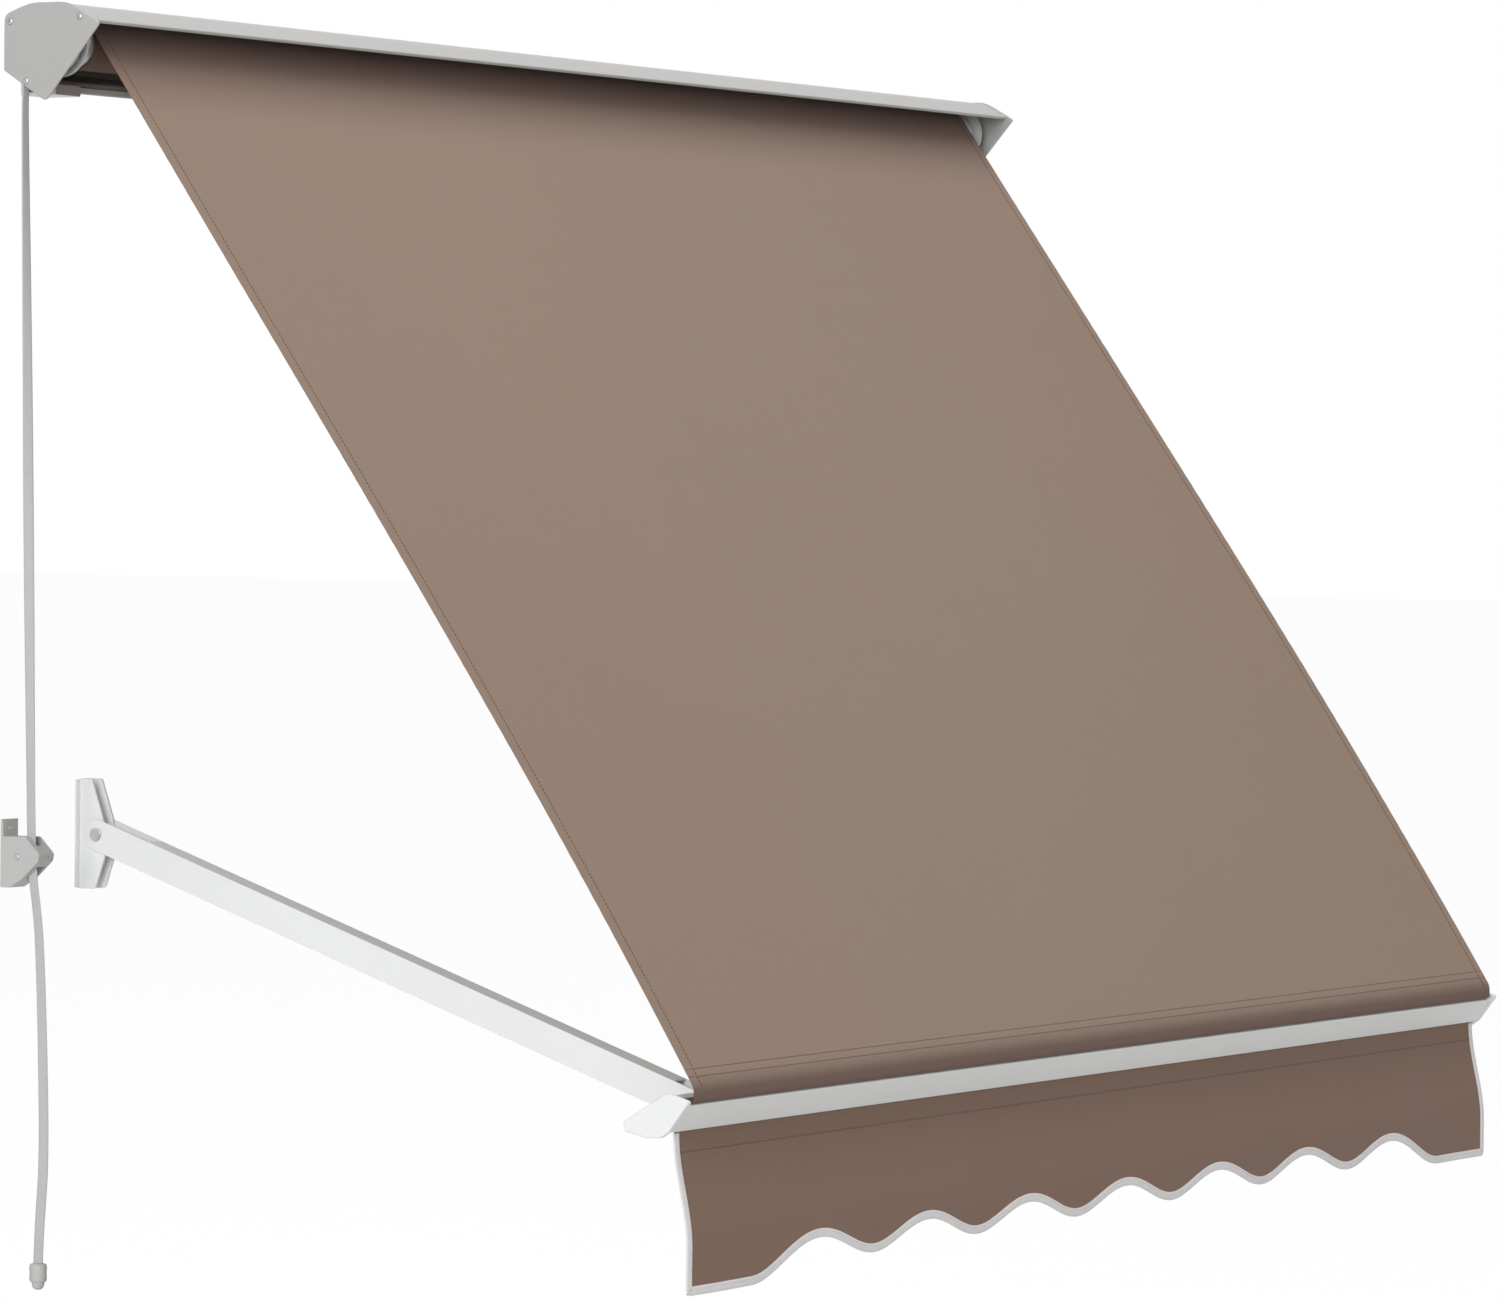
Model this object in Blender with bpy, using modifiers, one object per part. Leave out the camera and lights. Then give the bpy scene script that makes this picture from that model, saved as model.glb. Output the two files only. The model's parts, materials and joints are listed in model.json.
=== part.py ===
"""Drop-arm window awning: cassette, roller, canopy, two arms, front rail and valance.

Frame: +X along the width, +Y into the wall, +Z up. The origin is on the wall, at the
middle of the back face of the middle wall clip. All values are in metres.
"""

import bpy
import bmesh
from math import atan2, cos, pi, radians, sin, sqrt, tan
from mathutils import Matrix, Vector

# Overall sizes
AWNING_WIDTH = 1.800
ARM_LENGTH = 0.720
ARM_DROP = radians(18.4)
FIT_GAP = 0.0003
ROUND_STEPS = 24
HALF_WIDTH = AWNING_WIDTH / 2
FABRIC_WIDTH = AWNING_WIDTH - 0.092
VALANCE_WIDTH = AWNING_WIDTH - 0.094

# Cassette end plates, seen from the side: depth is away from the wall
CASSETTE_DEPTH = 0.113
CASSETTE_RISE = 0.041
CASSETTE_FOOT = 0.0534
NOSE_HEIGHT = 0.020
PLATE_THICKNESS = 0.004
PLATE_RIM = 0.0012

# Cassette hood extrusion
HOOD_INSET = 0.0012
HOOD_WALL = 0.0016
HOOD_SETBACK = 0.007
HOOD_LIP = 0.0035
HOOD_LOWER_LIP = 0.007
HOOD_LOWER_DEPTH = 0.036
PORT_RADIUS = 0.0035
PLATE_SCREW_PLACES = ((-0.0075, 0.0235), (-0.0895, 0.0262), (-0.0270, -0.0338))

# Plate screws and the holes for the wall screws
SCREW_SHANK = 0.0016
SCREW_LENGTH = 0.016
SCREW_HEAD = 0.0033
SCREW_HEAD_HEIGHT = 0.0018
SCREW_CLEARANCE = 0.0003
HEAD_RECESS = 0.0010
WALL_HOLE = 0.0023
WALL_HOLE_SINK = 0.0045

# Wall clips
CLIP_WIDTH = 0.040
CLIP_WALL = 0.003
CLIP_TOP = 0.0200
CLIP_REACH = 0.0415
CLIP_HOOK = 0.0075
CLIP_END_INSET = 0.048
CLIP_HOLE_HEIGHTS = (0.011, -0.015)
CLIP_SEAT = 0.0012

# Roller, on the two pins of the end plates
ROLLER_DEPTH = 0.050
ROLLER_HEIGHT = 0.003
ROLLER_RADIUS = 0.0225
ROLLER_WALL = 0.0014
ROLLER_END_INSET = 0.026
PIN_RADIUS = 0.0040
PIN_BOSS_RADIUS = 0.0085
PIN_BOSS_LENGTH = 0.0022
ROLL_THICKNESS = 0.0014
ROLL_STEP = 0.0004
FLANGE_RADIUS = 0.0325
FLANGE_WALL = 0.0020
PLUG_DEPTH = 0.028

# Pull strap and its spool
STRAP_WIDTH = 0.010
STRAP_THICKNESS = 0.0016
STRAP_X = -(HALF_WIDTH - 0.015)
SPOOL_HUB = 0.018
COIL_RADIUS = 0.0288
STRAP_EXIT = (0.0140, 0.0080)
STRAP_ROUTE = (
    # depth from the wall, height, turn of the flat face in degrees
    (0.0201, 0.003, 0), (0.0193, -0.010, 0), (0.0176, -0.023, 0), (0.0161, -0.036, 0),
    (0.0153, -0.052, 2), (0.0154, -0.072, 4), (0.0163, -0.120, 8), (0.0186, -0.220, 20),
    (0.0212, -0.340, 36), (0.0236, -0.460, 54), (0.0262, -0.580, 72), (0.0284, -0.680, 86),
    (0.0296, -0.735, 90), (0.0303, -0.757, 90), (0.0313, -0.777, 90), (0.0332, -0.800, 90),
    (0.0370, -0.825, 90), (0.0402, -0.852, 88), (0.0430, -0.898, 84), (0.0450, -0.944, 80),
    (0.0466, -0.990, 76), (0.0478, -1.040, 74), (0.0474, -1.080, 72), (0.0456, -1.108, 72),
    (0.0440, -1.132, 74), (0.0430, -1.155, 76), (0.0427, -1.1665, 76),
)
BEAD_RADIUS = 0.0085
BEAD_LENGTH = 0.0180
BEAD_KNOB = 0.0062

# Strap lock on the wall
LOCK_CENTRE = STRAP_X + 0.003
LOCK_WIDTH = 0.024
LOCK_HEIGHT = -0.777
LOCK_TOP = LOCK_HEIGHT + 0.036
LOCK_BOTTOM = LOCK_HEIGHT - 0.0295
LOCK_SHOULDER = LOCK_HEIGHT + 0.0195
LOCK_NOSE = (0.047, LOCK_HEIGHT)
LOCK_PLATE = 0.003
LOCK_SLOT_DEPTHS = (0.0247, 0.0385)
LOCK_SLOT_GAP = 0.0005
LOCK_SLOT_RIGHT = 0.0095
CAM_RADIUS = 0.0046
CAM_OFFSET = 0.0013
CAM_PIN = 0.0015
CAM_PIN_SEAT = 0.0022
RIVET_RADIUS = 0.0020
RIVET_DEPTH = 0.0190

# Arms and their wall brackets
ARM_X = HALF_WIDTH - 0.140
ARM_PIVOT_DEPTH = 0.0234
ARM_PIVOT_HEIGHT = -0.7597
ARM_HEIGHT = 0.030
ARM_WIDTH = 0.024
ARM_WALL = 0.0016
ARM_TOP_SLOT = 0.061
ARM_BOTTOM_SLOT = 0.029
ARM_FRONT_SLOT = 0.026
ARM_PIN_RADIUS = 0.0035
ARM_PIN_HEAD = 0.0065
ARM_PIN_HEAD_HEIGHT = 0.0020
BRACKET_UP = 0.054
BRACKET_DOWN = 0.053
BRACKET_WALL = 0.0025
BRACKET_PLATE_WIDTH = 0.029
BRACKET_HOLE_REACH = 0.043
ARM_FRONT_DEPTH = ARM_PIVOT_DEPTH + ARM_LENGTH * cos(ARM_DROP)
ARM_FRONT_HEIGHT = ARM_PIVOT_HEIGHT - ARM_LENGTH * sin(ARM_DROP)


def from_pivot(reach, rise, *radius):
    """A place in the front rail's side view, measured from the arms' front pivot."""
    return (ARM_FRONT_DEPTH + reach, ARM_FRONT_HEIGHT + rise, *radius)


# Front rail, seen from the side
RAIL_HALF = HALF_WIDTH - 0.039
RAIL_NOSE = from_pivot(0.0510, 0.0085)
RAIL_CREST = from_pivot(0.0334, 0.0180)
RAIL_BACK = ARM_FRONT_DEPTH + 0.0264
RAIL_TOE = from_pivot(0.0329, -0.0165)
RAIL_WALL = 0.0020
CAP_THICKNESS = 0.007
CAP_RIM = 0.0010
CAP_SPIGOT = 0.012
KEDER_POCKET = 0.0029
KEDER_ROD = 0.0024
KEDER_SLOT = 0.0022
MOUTH_REACH = 0.020
VALANCE_SWING = radians(31)
CANOPY_POCKET = from_pivot(0.0405, 0.0070)
VALANCE_POCKET = from_pivot(0.0309, -0.0100)
CAP_CORNERS = (
    from_pivot(0.0560, 0.0130, 0.002), from_pivot(0.0334, 0.0200, 0.006),
    from_pivot(0.0169, 0.0110, 0.010), from_pivot(-0.0146, -0.0085, 0.0025),
    from_pivot(-0.0126, -0.0170, 0.003), from_pivot(0.0094, -0.0220, 0.012),
    from_pivot(0.0254, -0.0215, 0.006), from_pivot(0.0339, -0.0160, 0.004),
)
LUG_WIDTH = 0.0185
LUG_RADIUS = 0.0110
LUG_PLATE = 0.0030

# Canopy and valance
CANOPY_THICKNESS = 0.0010
CANOPY_START = 0.001
CANOPY_HEM = (
    from_pivot(0.0519, 0.0252, 0.012), from_pivot(0.0524, 0.0080, 0.003),
    from_pivot(0.0405, 0.0160, 0.0012),
)
VALANCE_THICKNESS = 0.0010
VALANCE_CREST = RAIL_TOE[1] - 0.1155
VALANCE_FLARE = 0.016
VALANCE_FLARE_DROP = 0.105
SCALLOP_COUNT = 6
SCALLOP_PITCH = (VALANCE_WIDTH - 0.479) / SCALLOP_COUNT
SCALLOP_DEPTH = 0.023
END_LOBE_DEPTH = 0.034
END_LOBE_RUN = 0.125
BINDING_WIDTH = 0.0080
BINDING_THICKNESS = 0.0018
EDGE_STEPS = 84

# Places worked out from the sizes above
PLATE_FACE = HALF_WIDTH - PLATE_THICKNESS
HOOD_HALF = PLATE_FACE - FIT_GAP
HOOD_BACK = CLIP_WALL + FIT_GAP
ROLLER_HALF = HALF_WIDTH - ROLLER_END_INSET
FABRIC_HALF = FABRIC_WIDTH / 2
ROLL_RADIUS = ROLLER_RADIUS + FIT_GAP + ROLL_THICKNESS

PLATE_CORNERS = (
    # depth, height, corner radius, going round from the back top
    (0.0, 0.030, 0.009), (0.030, CASSETTE_RISE, 0.060), (0.075, CASSETTE_RISE, 0.040),
    (CASSETTE_DEPTH, NOSE_HEIGHT, 0.0025), (0.0494, -CASSETTE_FOOT, 0.005),
    (0.0, -0.023, 0.003),
)

WHITE_PAINT = ("white_paint", (0.72, 0.71, 0.70), 0.45, 0.0)
WHITE_PLASTIC = ("white_plastic", (0.78, 0.78, 0.76), 0.5, 0.0)
ALUMINIUM = ("bare_aluminium", (0.62, 0.62, 0.63), 0.35, 0.9)
STEEL = ("zinc_steel", (0.50, 0.50, 0.50), 0.30, 1.0)
TAUPE = ("taupe_cloth", (0.27, 0.21, 0.17), 0.9, 0.0)
VALANCE_TAUPE = ("valance_cloth", (0.19, 0.135, 0.11), 0.9, 0.0)
PALE_TAPE = ("pale_tape", (0.74, 0.72, 0.72), 0.85, 0.0)
WEBBING = ("grey_webbing", (0.50, 0.50, 0.49), 0.85, 0.0)


# Small tools

def clear_scene():
    for obj in list(bpy.data.objects):
        bpy.data.objects.remove(obj, do_unlink=True)


def make_collection(name):
    collection = bpy.data.collections.new(name)
    bpy.context.scene.collection.children.link(collection)
    return collection


def material(finish):
    name, colour, roughness, metallic = finish
    found = bpy.data.materials.get(name)
    if found:
        return found
    made = bpy.data.materials.new(name)
    made.use_nodes = True
    shader = made.node_tree.nodes["Principled BSDF"]
    shader.inputs["Base Color"].default_value = (*colour, 1.0)
    shader.inputs["Roughness"].default_value = roughness
    shader.inputs["Metallic"].default_value = metallic
    made.diffuse_color = (*colour, 1.0)
    return made


def side_view():
    """Turn that takes a flat outline's x, y and thickness to the world's Y, Z and X."""
    return (pi / 2, 0.0, pi / 2)


def fillet_path(corners, closed, step_angle=radians(14)):
    """Points along straight runs joined by arcs; each corner is (x, y, radius)."""
    count = len(corners)
    points = []
    for index, (x, y, radius) in enumerate(corners):
        corner = Vector((x, y))
        if not closed and index in (0, count - 1) or radius <= 0:
            points.append(corner)
            continue
        before = (Vector(corners[index - 1][:2]) - corner).normalized()
        after = (Vector(corners[(index + 1) % count][:2]) - corner).normalized()
        half = before.angle(after) / 2
        reach = radius / tan(half)
        centre = corner + (before + after).normalized() * (radius / sin(half))
        start = corner + before * reach - centre
        end = corner + after * reach - centre
        turn = start.angle_signed(end)
        steps = max(2, int(abs(turn) / step_angle) + 1)
        base = atan2(start.y, start.x)
        for step in range(steps + 1):
            angle = base - turn * step / steps
            points.append(centre + Vector((cos(angle), sin(angle))) * radius)
    return points


def move_edges(corners, gaps):
    """Corners of a closed outline with each edge moved inwards by its own gap."""
    count = len(corners)
    area = sum(corners[i][0] * corners[(i + 1) % count][1] -
               corners[(i + 1) % count][0] * corners[i][1] for i in range(count))
    inward = 1.0 if area > 0 else -1.0
    lines = []
    for index in range(count):
        start = Vector(corners[index][:2])
        along = (Vector(corners[(index + 1) % count][:2]) - start).normalized()
        normal = Vector((-along.y, along.x)) * inward
        lines.append((start + normal * gaps[index], along))
    moved = []
    for index in range(count):
        (p, d), (q, e) = lines[index - 1], lines[index]
        reach = (q - p).cross(e) / d.cross(e)
        radius = max(0.0004, corners[index][2] - max(gaps[index - 1], gaps[index]))
        point = p + d * reach
        moved.append((point.x, point.y, radius))
    return moved


def shift_path(corners, distance):
    """An open path of (x, y, radius) corners moved to its left, its bends still in step."""
    points = [Vector(corner[:2]) for corner in corners]
    runs = [(b - a).normalized() for a, b in zip(points, points[1:])]
    moved = []
    for index, (point, corner) in enumerate(zip(points, corners)):
        before, after = runs[max(index - 1, 0)], runs[min(index, len(runs) - 1)]
        mean = (before + after).normalized()
        place = point + Vector((-mean.y, mean.x)) * distance / mean.dot(after)
        bend = distance if before.cross(after) > 0 else -distance
        radius = max(0.0, corner[2] - bend) if corner[2] else 0.0
        moved.append((place.x, place.y, radius))
    return moved


def ribbon(corners, wall, start=0.0):
    """Closed outline of a wall that lies to the left of an open path."""
    near, far = shift_path(corners, start), shift_path(corners, start + wall)
    return fillet_path(near, closed=False) + fillet_path(far, closed=False)[::-1]


def circle(x, y, radius, steps=ROUND_STEPS):
    return [Vector((x + radius * cos(2 * pi * i / steps), y + radius * sin(2 * pi * i / steps)))
            for i in range(steps)]


def depth_points(points):
    """Outline points given as depth and height become world Y and Z."""
    return [Vector((-p[0], p[1])) for p in points]


def freeze(obj, smooth=radians(32)):
    """Replace an object's curve or modifiers by its closed mesh."""
    bpy.context.view_layer.update()
    graph = bpy.context.evaluated_depsgraph_get()
    mesh = bpy.data.meshes.new_from_object(obj.evaluated_get(graph))
    work = bmesh.new()
    work.from_mesh(mesh)
    bmesh.ops.remove_doubles(work, verts=work.verts, dist=0.000005)
    bmesh.ops.recalc_face_normals(work, faces=work.faces)
    work.to_mesh(mesh)
    work.free()
    name, finish = obj.name, obj.active_material
    hidden, shown_as = obj.hide_render, obj.display_type
    place, homes = obj.matrix_world.copy(), list(obj.users_collection)
    bpy.data.objects.remove(obj, do_unlink=True)
    solid = bpy.data.objects.new(name, mesh)
    solid.matrix_world = place
    solid.hide_render, solid.display_type = hidden, shown_as
    for home in homes:
        home.objects.link(solid)
    mesh.materials.clear()
    if finish:
        mesh.materials.append(finish)
    mesh.shade_smooth()
    mesh.set_sharp_from_angle(angle=smooth)
    return solid


class Workshop:
    """Makes named solids in the awning's collection and cutters in another."""

    def __init__(self):
        self.parts = make_collection("drop_arm_awning")
        self.cutters = make_collection("cutters")

    def add(self, name, data, finish=None):
        obj = bpy.data.objects.new(name, data)
        (self.parts if finish else self.cutters).objects.link(obj)
        if finish:
            data.materials.append(material(finish))
        else:
            obj.hide_render = True
            obj.display_type = "WIRE"
        return obj

    def outline(self, name, loops, low, high, finish=None, turn=None, rim=0.0):
        """A flat outline with its holes, as thick as the run from low to high."""
        curve = bpy.data.curves.new(name, "CURVE")
        curve.dimensions = "2D"
        curve.fill_mode = "BOTH"
        curve.extrude = (high - low) / 2 - rim
        curve.bevel_depth = rim
        curve.bevel_resolution = 0
        curve.offset = -rim
        for loop in loops:
            spline = curve.splines.new("POLY")
            spline.points.add(len(loop) - 1)
            for point, target in zip(loop, spline.points):
                target.co = (point.x, point.y, 0.0, 1.0)
            spline.use_cyclic_u = True
        obj = self.add(name, curve, finish)
        obj.rotation_euler = turn or side_view()
        middle = (low + high) / 2
        obj.location = (middle, 0, 0) if turn is None else (0, 0, 0)
        return freeze(obj)

    def box(self, name, low, high, finish=None):
        work = bmesh.new()
        bmesh.ops.create_cube(work, size=1.0)
        size = [b - a for a, b in zip(low, high)]
        bmesh.ops.scale(work, vec=size, verts=work.verts)
        mesh = bpy.data.meshes.new(name)
        work.to_mesh(mesh)
        work.free()
        obj = self.add(name, mesh, finish)
        obj.location = [(a + b) / 2 for a, b in zip(low, high)]
        return obj

    def rod(self, name, start, end, radius, finish=None, steps=ROUND_STEPS):
        start, end = Vector(start), Vector(end)
        work = bmesh.new()
        bmesh.ops.create_cone(work, cap_ends=True, segments=steps, radius1=radius,
                              radius2=radius, depth=(end - start).length)
        mesh = bpy.data.meshes.new(name)
        work.to_mesh(mesh)
        work.free()
        obj = self.add(name, mesh, finish)
        obj.location = (start + end) / 2
        obj.rotation_euler = (end - start).to_track_quat("Z", "Y").to_euler()
        mesh.shade_smooth()
        mesh.set_sharp_from_angle(angle=radians(40))
        return obj

    def turned(self, name, profile, place, along, finish, steps=24):
        """A turned solid; the profile is (radius, distance along the axis) pairs."""
        mesh = bpy.data.meshes.new(name)
        work = bmesh.new()
        verts = [work.verts.new((r, 0, h)) for r, h in profile]
        on_axis = profile[0][0] == 0 and profile[-1][0] == 0
        pairs = list(zip(verts, verts[1:]))
        if not on_axis:
            pairs.append((verts[-1], verts[0]))
        for a, b in pairs:
            work.edges.new((a, b))
        work.to_mesh(mesh)
        work.free()
        obj = self.add(name, mesh, finish)
        screw = obj.modifiers.new("turn", "SCREW")
        screw.steps = steps
        screw.render_steps = steps
        screw.use_merge_vertices = True
        screw.merge_threshold = 0.00001
        obj.location = place
        obj.rotation_euler = Vector(along).to_track_quat("Z", "Y").to_euler()
        return freeze(obj)

    def boolean(self, target, tool, operation="DIFFERENCE"):
        """Cut with or join a tool; a joined piece becomes a hidden guide."""
        if tool.name in self.parts.objects:
            self.parts.objects.unlink(tool)
            self.cutters.objects.link(tool)
            tool.hide_render = True
            tool.display_type = "WIRE"
        step = target.modifiers.new(tool.name, "BOOLEAN")
        step.operation = operation
        step.object = tool
        step.solver = "EXACT"
        return target

    def joint(self, name, place):
        empty = bpy.data.objects.new(name, None)
        empty.empty_display_size = 0.03
        empty.location = place
        self.parts.objects.link(empty)
        return empty


def hang_on(parent, children):
    """Parent pieces to a joint's empty without moving them."""
    bpy.context.view_layer.update()
    for child in children:
        child.parent = parent
        child.matrix_parent_inverse = parent.matrix_world.inverted()


# Cassette

def hood_corners(extra=0.0):
    """The hood's closed outline, inside the plates and clear of the wall clips."""
    gaps = [HOOD_INSET + extra] * len(PLATE_CORNERS)
    gaps[-1] = HOOD_BACK + extra
    return move_edges(PLATE_CORNERS, gaps)


def hood_path():
    """The hood's outer side, from the front lip over the top to the lower lip."""
    back_top, top_back, top_front, nose, foot, back_bottom = hood_corners()
    slant = (Vector(foot[:2]) - Vector(nose[:2])).normalized()
    rise = (Vector(top_front[:2]) - Vector(nose[:2])).normalized()
    brow = Vector(nose[:2]) + rise * HOOD_SETBACK
    lip_end = brow + slant * HOOD_LIP
    fall = (Vector(foot[:2]) - Vector(back_bottom[:2])).normalized()
    run = (HOOD_LOWER_DEPTH - back_bottom[0]) / fall.x
    lower = Vector(back_bottom[:2]) + fall * run
    return [(*lip_end, 0), (*brow, *nose[2:]), top_front, top_back, back_top, back_bottom,
            (*lower, 0.002), (lower.x + 0.0015, lower.y + HOOD_LOWER_LIP, 0)]


def make_hood(shop):
    outline = depth_points(ribbon(hood_path(), HOOD_WALL))
    hood = shop.outline("hood_profile", [outline], -HOOD_HALF, HOOD_HALF, WHITE_PAINT)
    for index, (depth, height) in enumerate(PLATE_SCREW_PLACES):
        port = shop.rod(f"port_{index}", (-HOOD_HALF, depth, height), (HOOD_HALF, depth, height),
                        PORT_RADIUS, steps=16)
        shop.boolean(hood, port, "UNION")
    ledge = shop.box("hanging_ledge", (-HOOD_HALF, -HOOD_BACK - HOOD_WALL / 2, CLIP_TOP + FIT_GAP),
                     (HOOD_HALF, -0.0006, CLIP_TOP + FIT_GAP + HOOD_WALL))
    shop.boolean(hood, ledge, "UNION")
    for index, (depth, height) in enumerate(PLATE_SCREW_PLACES):
        reach = HOOD_HALF + 0.01
        bore = shop.rod(f"port_bore_{index}", (-reach, depth, height), (reach, depth, height),
                        SCREW_SHANK + SCREW_CLEARANCE, steps=12)
        shop.boolean(hood, bore)
    wide, deep = STRAP_EXIT
    centre = STRAP_ROUTE[3][0]
    exit_slot = shop.box("strap_exit", (STRAP_X - wide / 2, -centre - deep / 2, -0.050),
                         (STRAP_X + wide / 2, -centre + deep / 2, -0.020))
    shop.boolean(hood, exit_slot)
    return hood


def make_end_plate(shop, side):
    """One moulded end plate, with its rim, screw seats and pin boss."""
    name = "left_end_plate" if side < 0 else "right_end_plate"
    outer, inner = side * HALF_WIDTH, side * PLATE_FACE
    outline = depth_points(fillet_path(PLATE_CORNERS, closed=True))
    low, high = sorted((outer, inner))
    plate = shop.outline(name, [outline], low, high, WHITE_PAINT, rim=PLATE_RIM)
    axis = (-ROLLER_DEPTH, ROLLER_HEIGHT)
    boss = shop.rod(f"{name}_boss", (inner + side * PLATE_THICKNESS / 2, *axis),
                    (inner - side * PIN_BOSS_LENGTH, *axis), PIN_BOSS_RADIUS)
    shop.boolean(plate, boss, "UNION")
    seat = shop.rod(f"{name}_pin_seat", (outer - side * 0.0012, *axis),
                    (inner - side * 0.01, *axis), PIN_RADIUS + FIT_GAP)
    shop.boolean(plate, seat)
    for index, (depth, height) in enumerate(PLATE_SCREW_PLACES):
        bore = shop.rod(f"{name}_bore_{index}", (outer + side * 0.01, depth, height),
                        (inner - side * 0.01, depth, height),
                        SCREW_SHANK + SCREW_CLEARANCE, steps=12)
        shop.boolean(plate, bore)
        sink = shop.rod(f"{name}_sink_{index}", (outer + side * 0.01, depth, height),
                        (outer - side * HEAD_RECESS, depth, height),
                        SCREW_HEAD + SCREW_CLEARANCE, steps=16)
        shop.boolean(plate, sink)
    return plate


def make_plate_screws(shop):
    """Pan-head screws, each with its head in the plate's recess."""
    head, rise = SCREW_HEAD, SCREW_HEAD_HEIGHT
    profile = [(0, SCREW_LENGTH), (SCREW_SHANK, SCREW_LENGTH - SCREW_SHANK), (SCREW_SHANK, 0),
               (head, 0), (head, -rise * 0.35), (head * 0.75, -rise * 0.85), (0, -rise)]
    for side, word in ((-1, "left"), (1, "right")):
        seat_x = side * (HALF_WIDTH - HEAD_RECESS + SCREW_CLEARANCE)
        for index, (depth, height) in enumerate(PLATE_SCREW_PLACES):
            shop.turned(f"{word}_plate_screw_{index + 1}", profile, (seat_x, depth, height),
                        (-side, 0, 0), STEEL, 12)


def wall_hole(shop, target, centre, height, sink_from=None):
    """A hole for a wall screw, with a flat sink for its head where one is asked for."""
    name = f"{target.name}_hole_{round(height * -10000)}"
    hole = shop.rod(name, (centre, 0.01, height), (centre, -0.015, height), WALL_HOLE, steps=12)
    shop.boolean(target, hole)
    if sink_from:
        sink = shop.rod(f"{name}_sink", (centre, -0.015, height), (centre, -sink_from, height),
                        WALL_HOLE_SINK, steps=16)
        shop.boolean(target, sink)


def make_clip(shop, name, centre):
    """A wall clip: back plate, floor under the hood and the hook over its lower lip."""
    lower = min(point.y for point in fillet_path(hood_path(), closed=False))
    floor = lower - FIT_GAP
    corners = [(0.0, CLIP_TOP, 0), (0.0, floor - CLIP_WALL, 0.001),
               (CLIP_REACH, floor - CLIP_WALL, 0.001), (CLIP_REACH, floor + CLIP_HOOK, 0)]
    outline = depth_points(ribbon(corners, CLIP_WALL))
    half = CLIP_WIDTH / 2
    clip = shop.outline(name, [outline], centre - half, centre + half, ALUMINIUM)
    for height in CLIP_HOLE_HEIGHTS:
        wall_hole(shop, clip, centre, height, sink_from=CLIP_SEAT)
    return clip


def make_cassette(shop):
    make_hood(shop)
    make_end_plate(shop, -1)
    make_end_plate(shop, 1)
    make_plate_screws(shop)
    reach = HALF_WIDTH - CLIP_END_INSET
    for name, centre in (("left_wall_clip", -reach), ("middle_wall_clip", 0.0),
                         ("right_wall_clip", reach)):
        make_clip(shop, name, centre)
    axis = (-ROLLER_DEPTH, ROLLER_HEIGHT)
    for side, word in ((-1, "left"), (1, "right")):
        shop.rod(f"{word}_roller_pin", (side * (HALF_WIDTH - 0.0015), *axis),
                 (side * (ROLLER_HALF - PLUG_DEPTH + 0.004), *axis), PIN_RADIUS, STEEL)


# Roller, spool and fabric roll

def make_roller(shop):
    axis = (0, -ROLLER_DEPTH, ROLLER_HEIGHT)
    centre = Vector((-ROLLER_DEPTH, ROLLER_HEIGHT))
    bore = PIN_RADIUS + FIT_GAP
    tube = shop.outline("roller_tube", [circle(*centre, ROLLER_RADIUS, 36),
                                        circle(*centre, ROLLER_RADIUS - ROLLER_WALL, 36)],
                        -ROLLER_HALF, ROLLER_HALF, ALUMINIUM)
    pieces = [tube]
    plug_radius = ROLLER_RADIUS - ROLLER_WALL - FIT_GAP
    face = FIT_GAP + FLANGE_WALL
    cup = 0.0012
    for side, word in ((-1, "left"), (1, "right")):
        profile = [(bore, face), (FLANGE_RADIUS - 0.004, face), (FLANGE_RADIUS - 0.003, face + cup),
                   (FLANGE_RADIUS, face + cup), (FLANGE_RADIUS, FIT_GAP), (plug_radius, FIT_GAP),
                   (plug_radius, -PLUG_DEPTH), (bore, -PLUG_DEPTH)]
        pieces.append(shop.turned(f"{word}_roller_plug", profile,
                                  (side * ROLLER_HALF, *axis[1:]), (side, 0, 0), WHITE_PLASTIC))
    inner = ROLLER_HALF + face + cup + FIT_GAP
    outer = PLATE_FACE - PIN_BOSS_LENGTH - 0.0006
    hub_end = STRAP_WIDTH / 2 - STRAP_X + FIT_GAP
    profile = [(bore, inner), (SPOOL_HUB, inner), (SPOOL_HUB, hub_end), (FLANGE_RADIUS, hub_end),
               (FLANGE_RADIUS, outer), (bore, outer)]
    pieces.append(shop.turned("strap_spool", profile, axis, (-1, 0, 0), WHITE_PLASTIC))
    low = -STRAP_X - STRAP_WIDTH / 2
    high = low + STRAP_WIDTH
    coil = [(SPOOL_HUB + FIT_GAP, low), (COIL_RADIUS, low), (COIL_RADIUS, high),
            (SPOOL_HUB + FIT_GAP, high)]
    pieces.append(shop.turned("strap_coil", coil, axis, (-1, 0, 0), WEBBING, 36))
    steps = 48
    start = canopy_line()[2]
    spiral = []
    for step in range(steps + 1):
        angle = start - 2 * pi * step / steps
        radius = ROLL_RADIUS - ROLL_STEP * step / steps
        spiral.append(centre + Vector((cos(angle), sin(angle))) * radius)
    sleeve = circle(*centre, ROLLER_RADIUS + FIT_GAP, 36)
    pieces.append(shop.outline("fabric_roll", [spiral, sleeve], -FABRIC_HALF, FABRIC_HALF, TAUPE))
    hang_on(shop.joint("roller_axis", axis), pieces)


# Canopy

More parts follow.
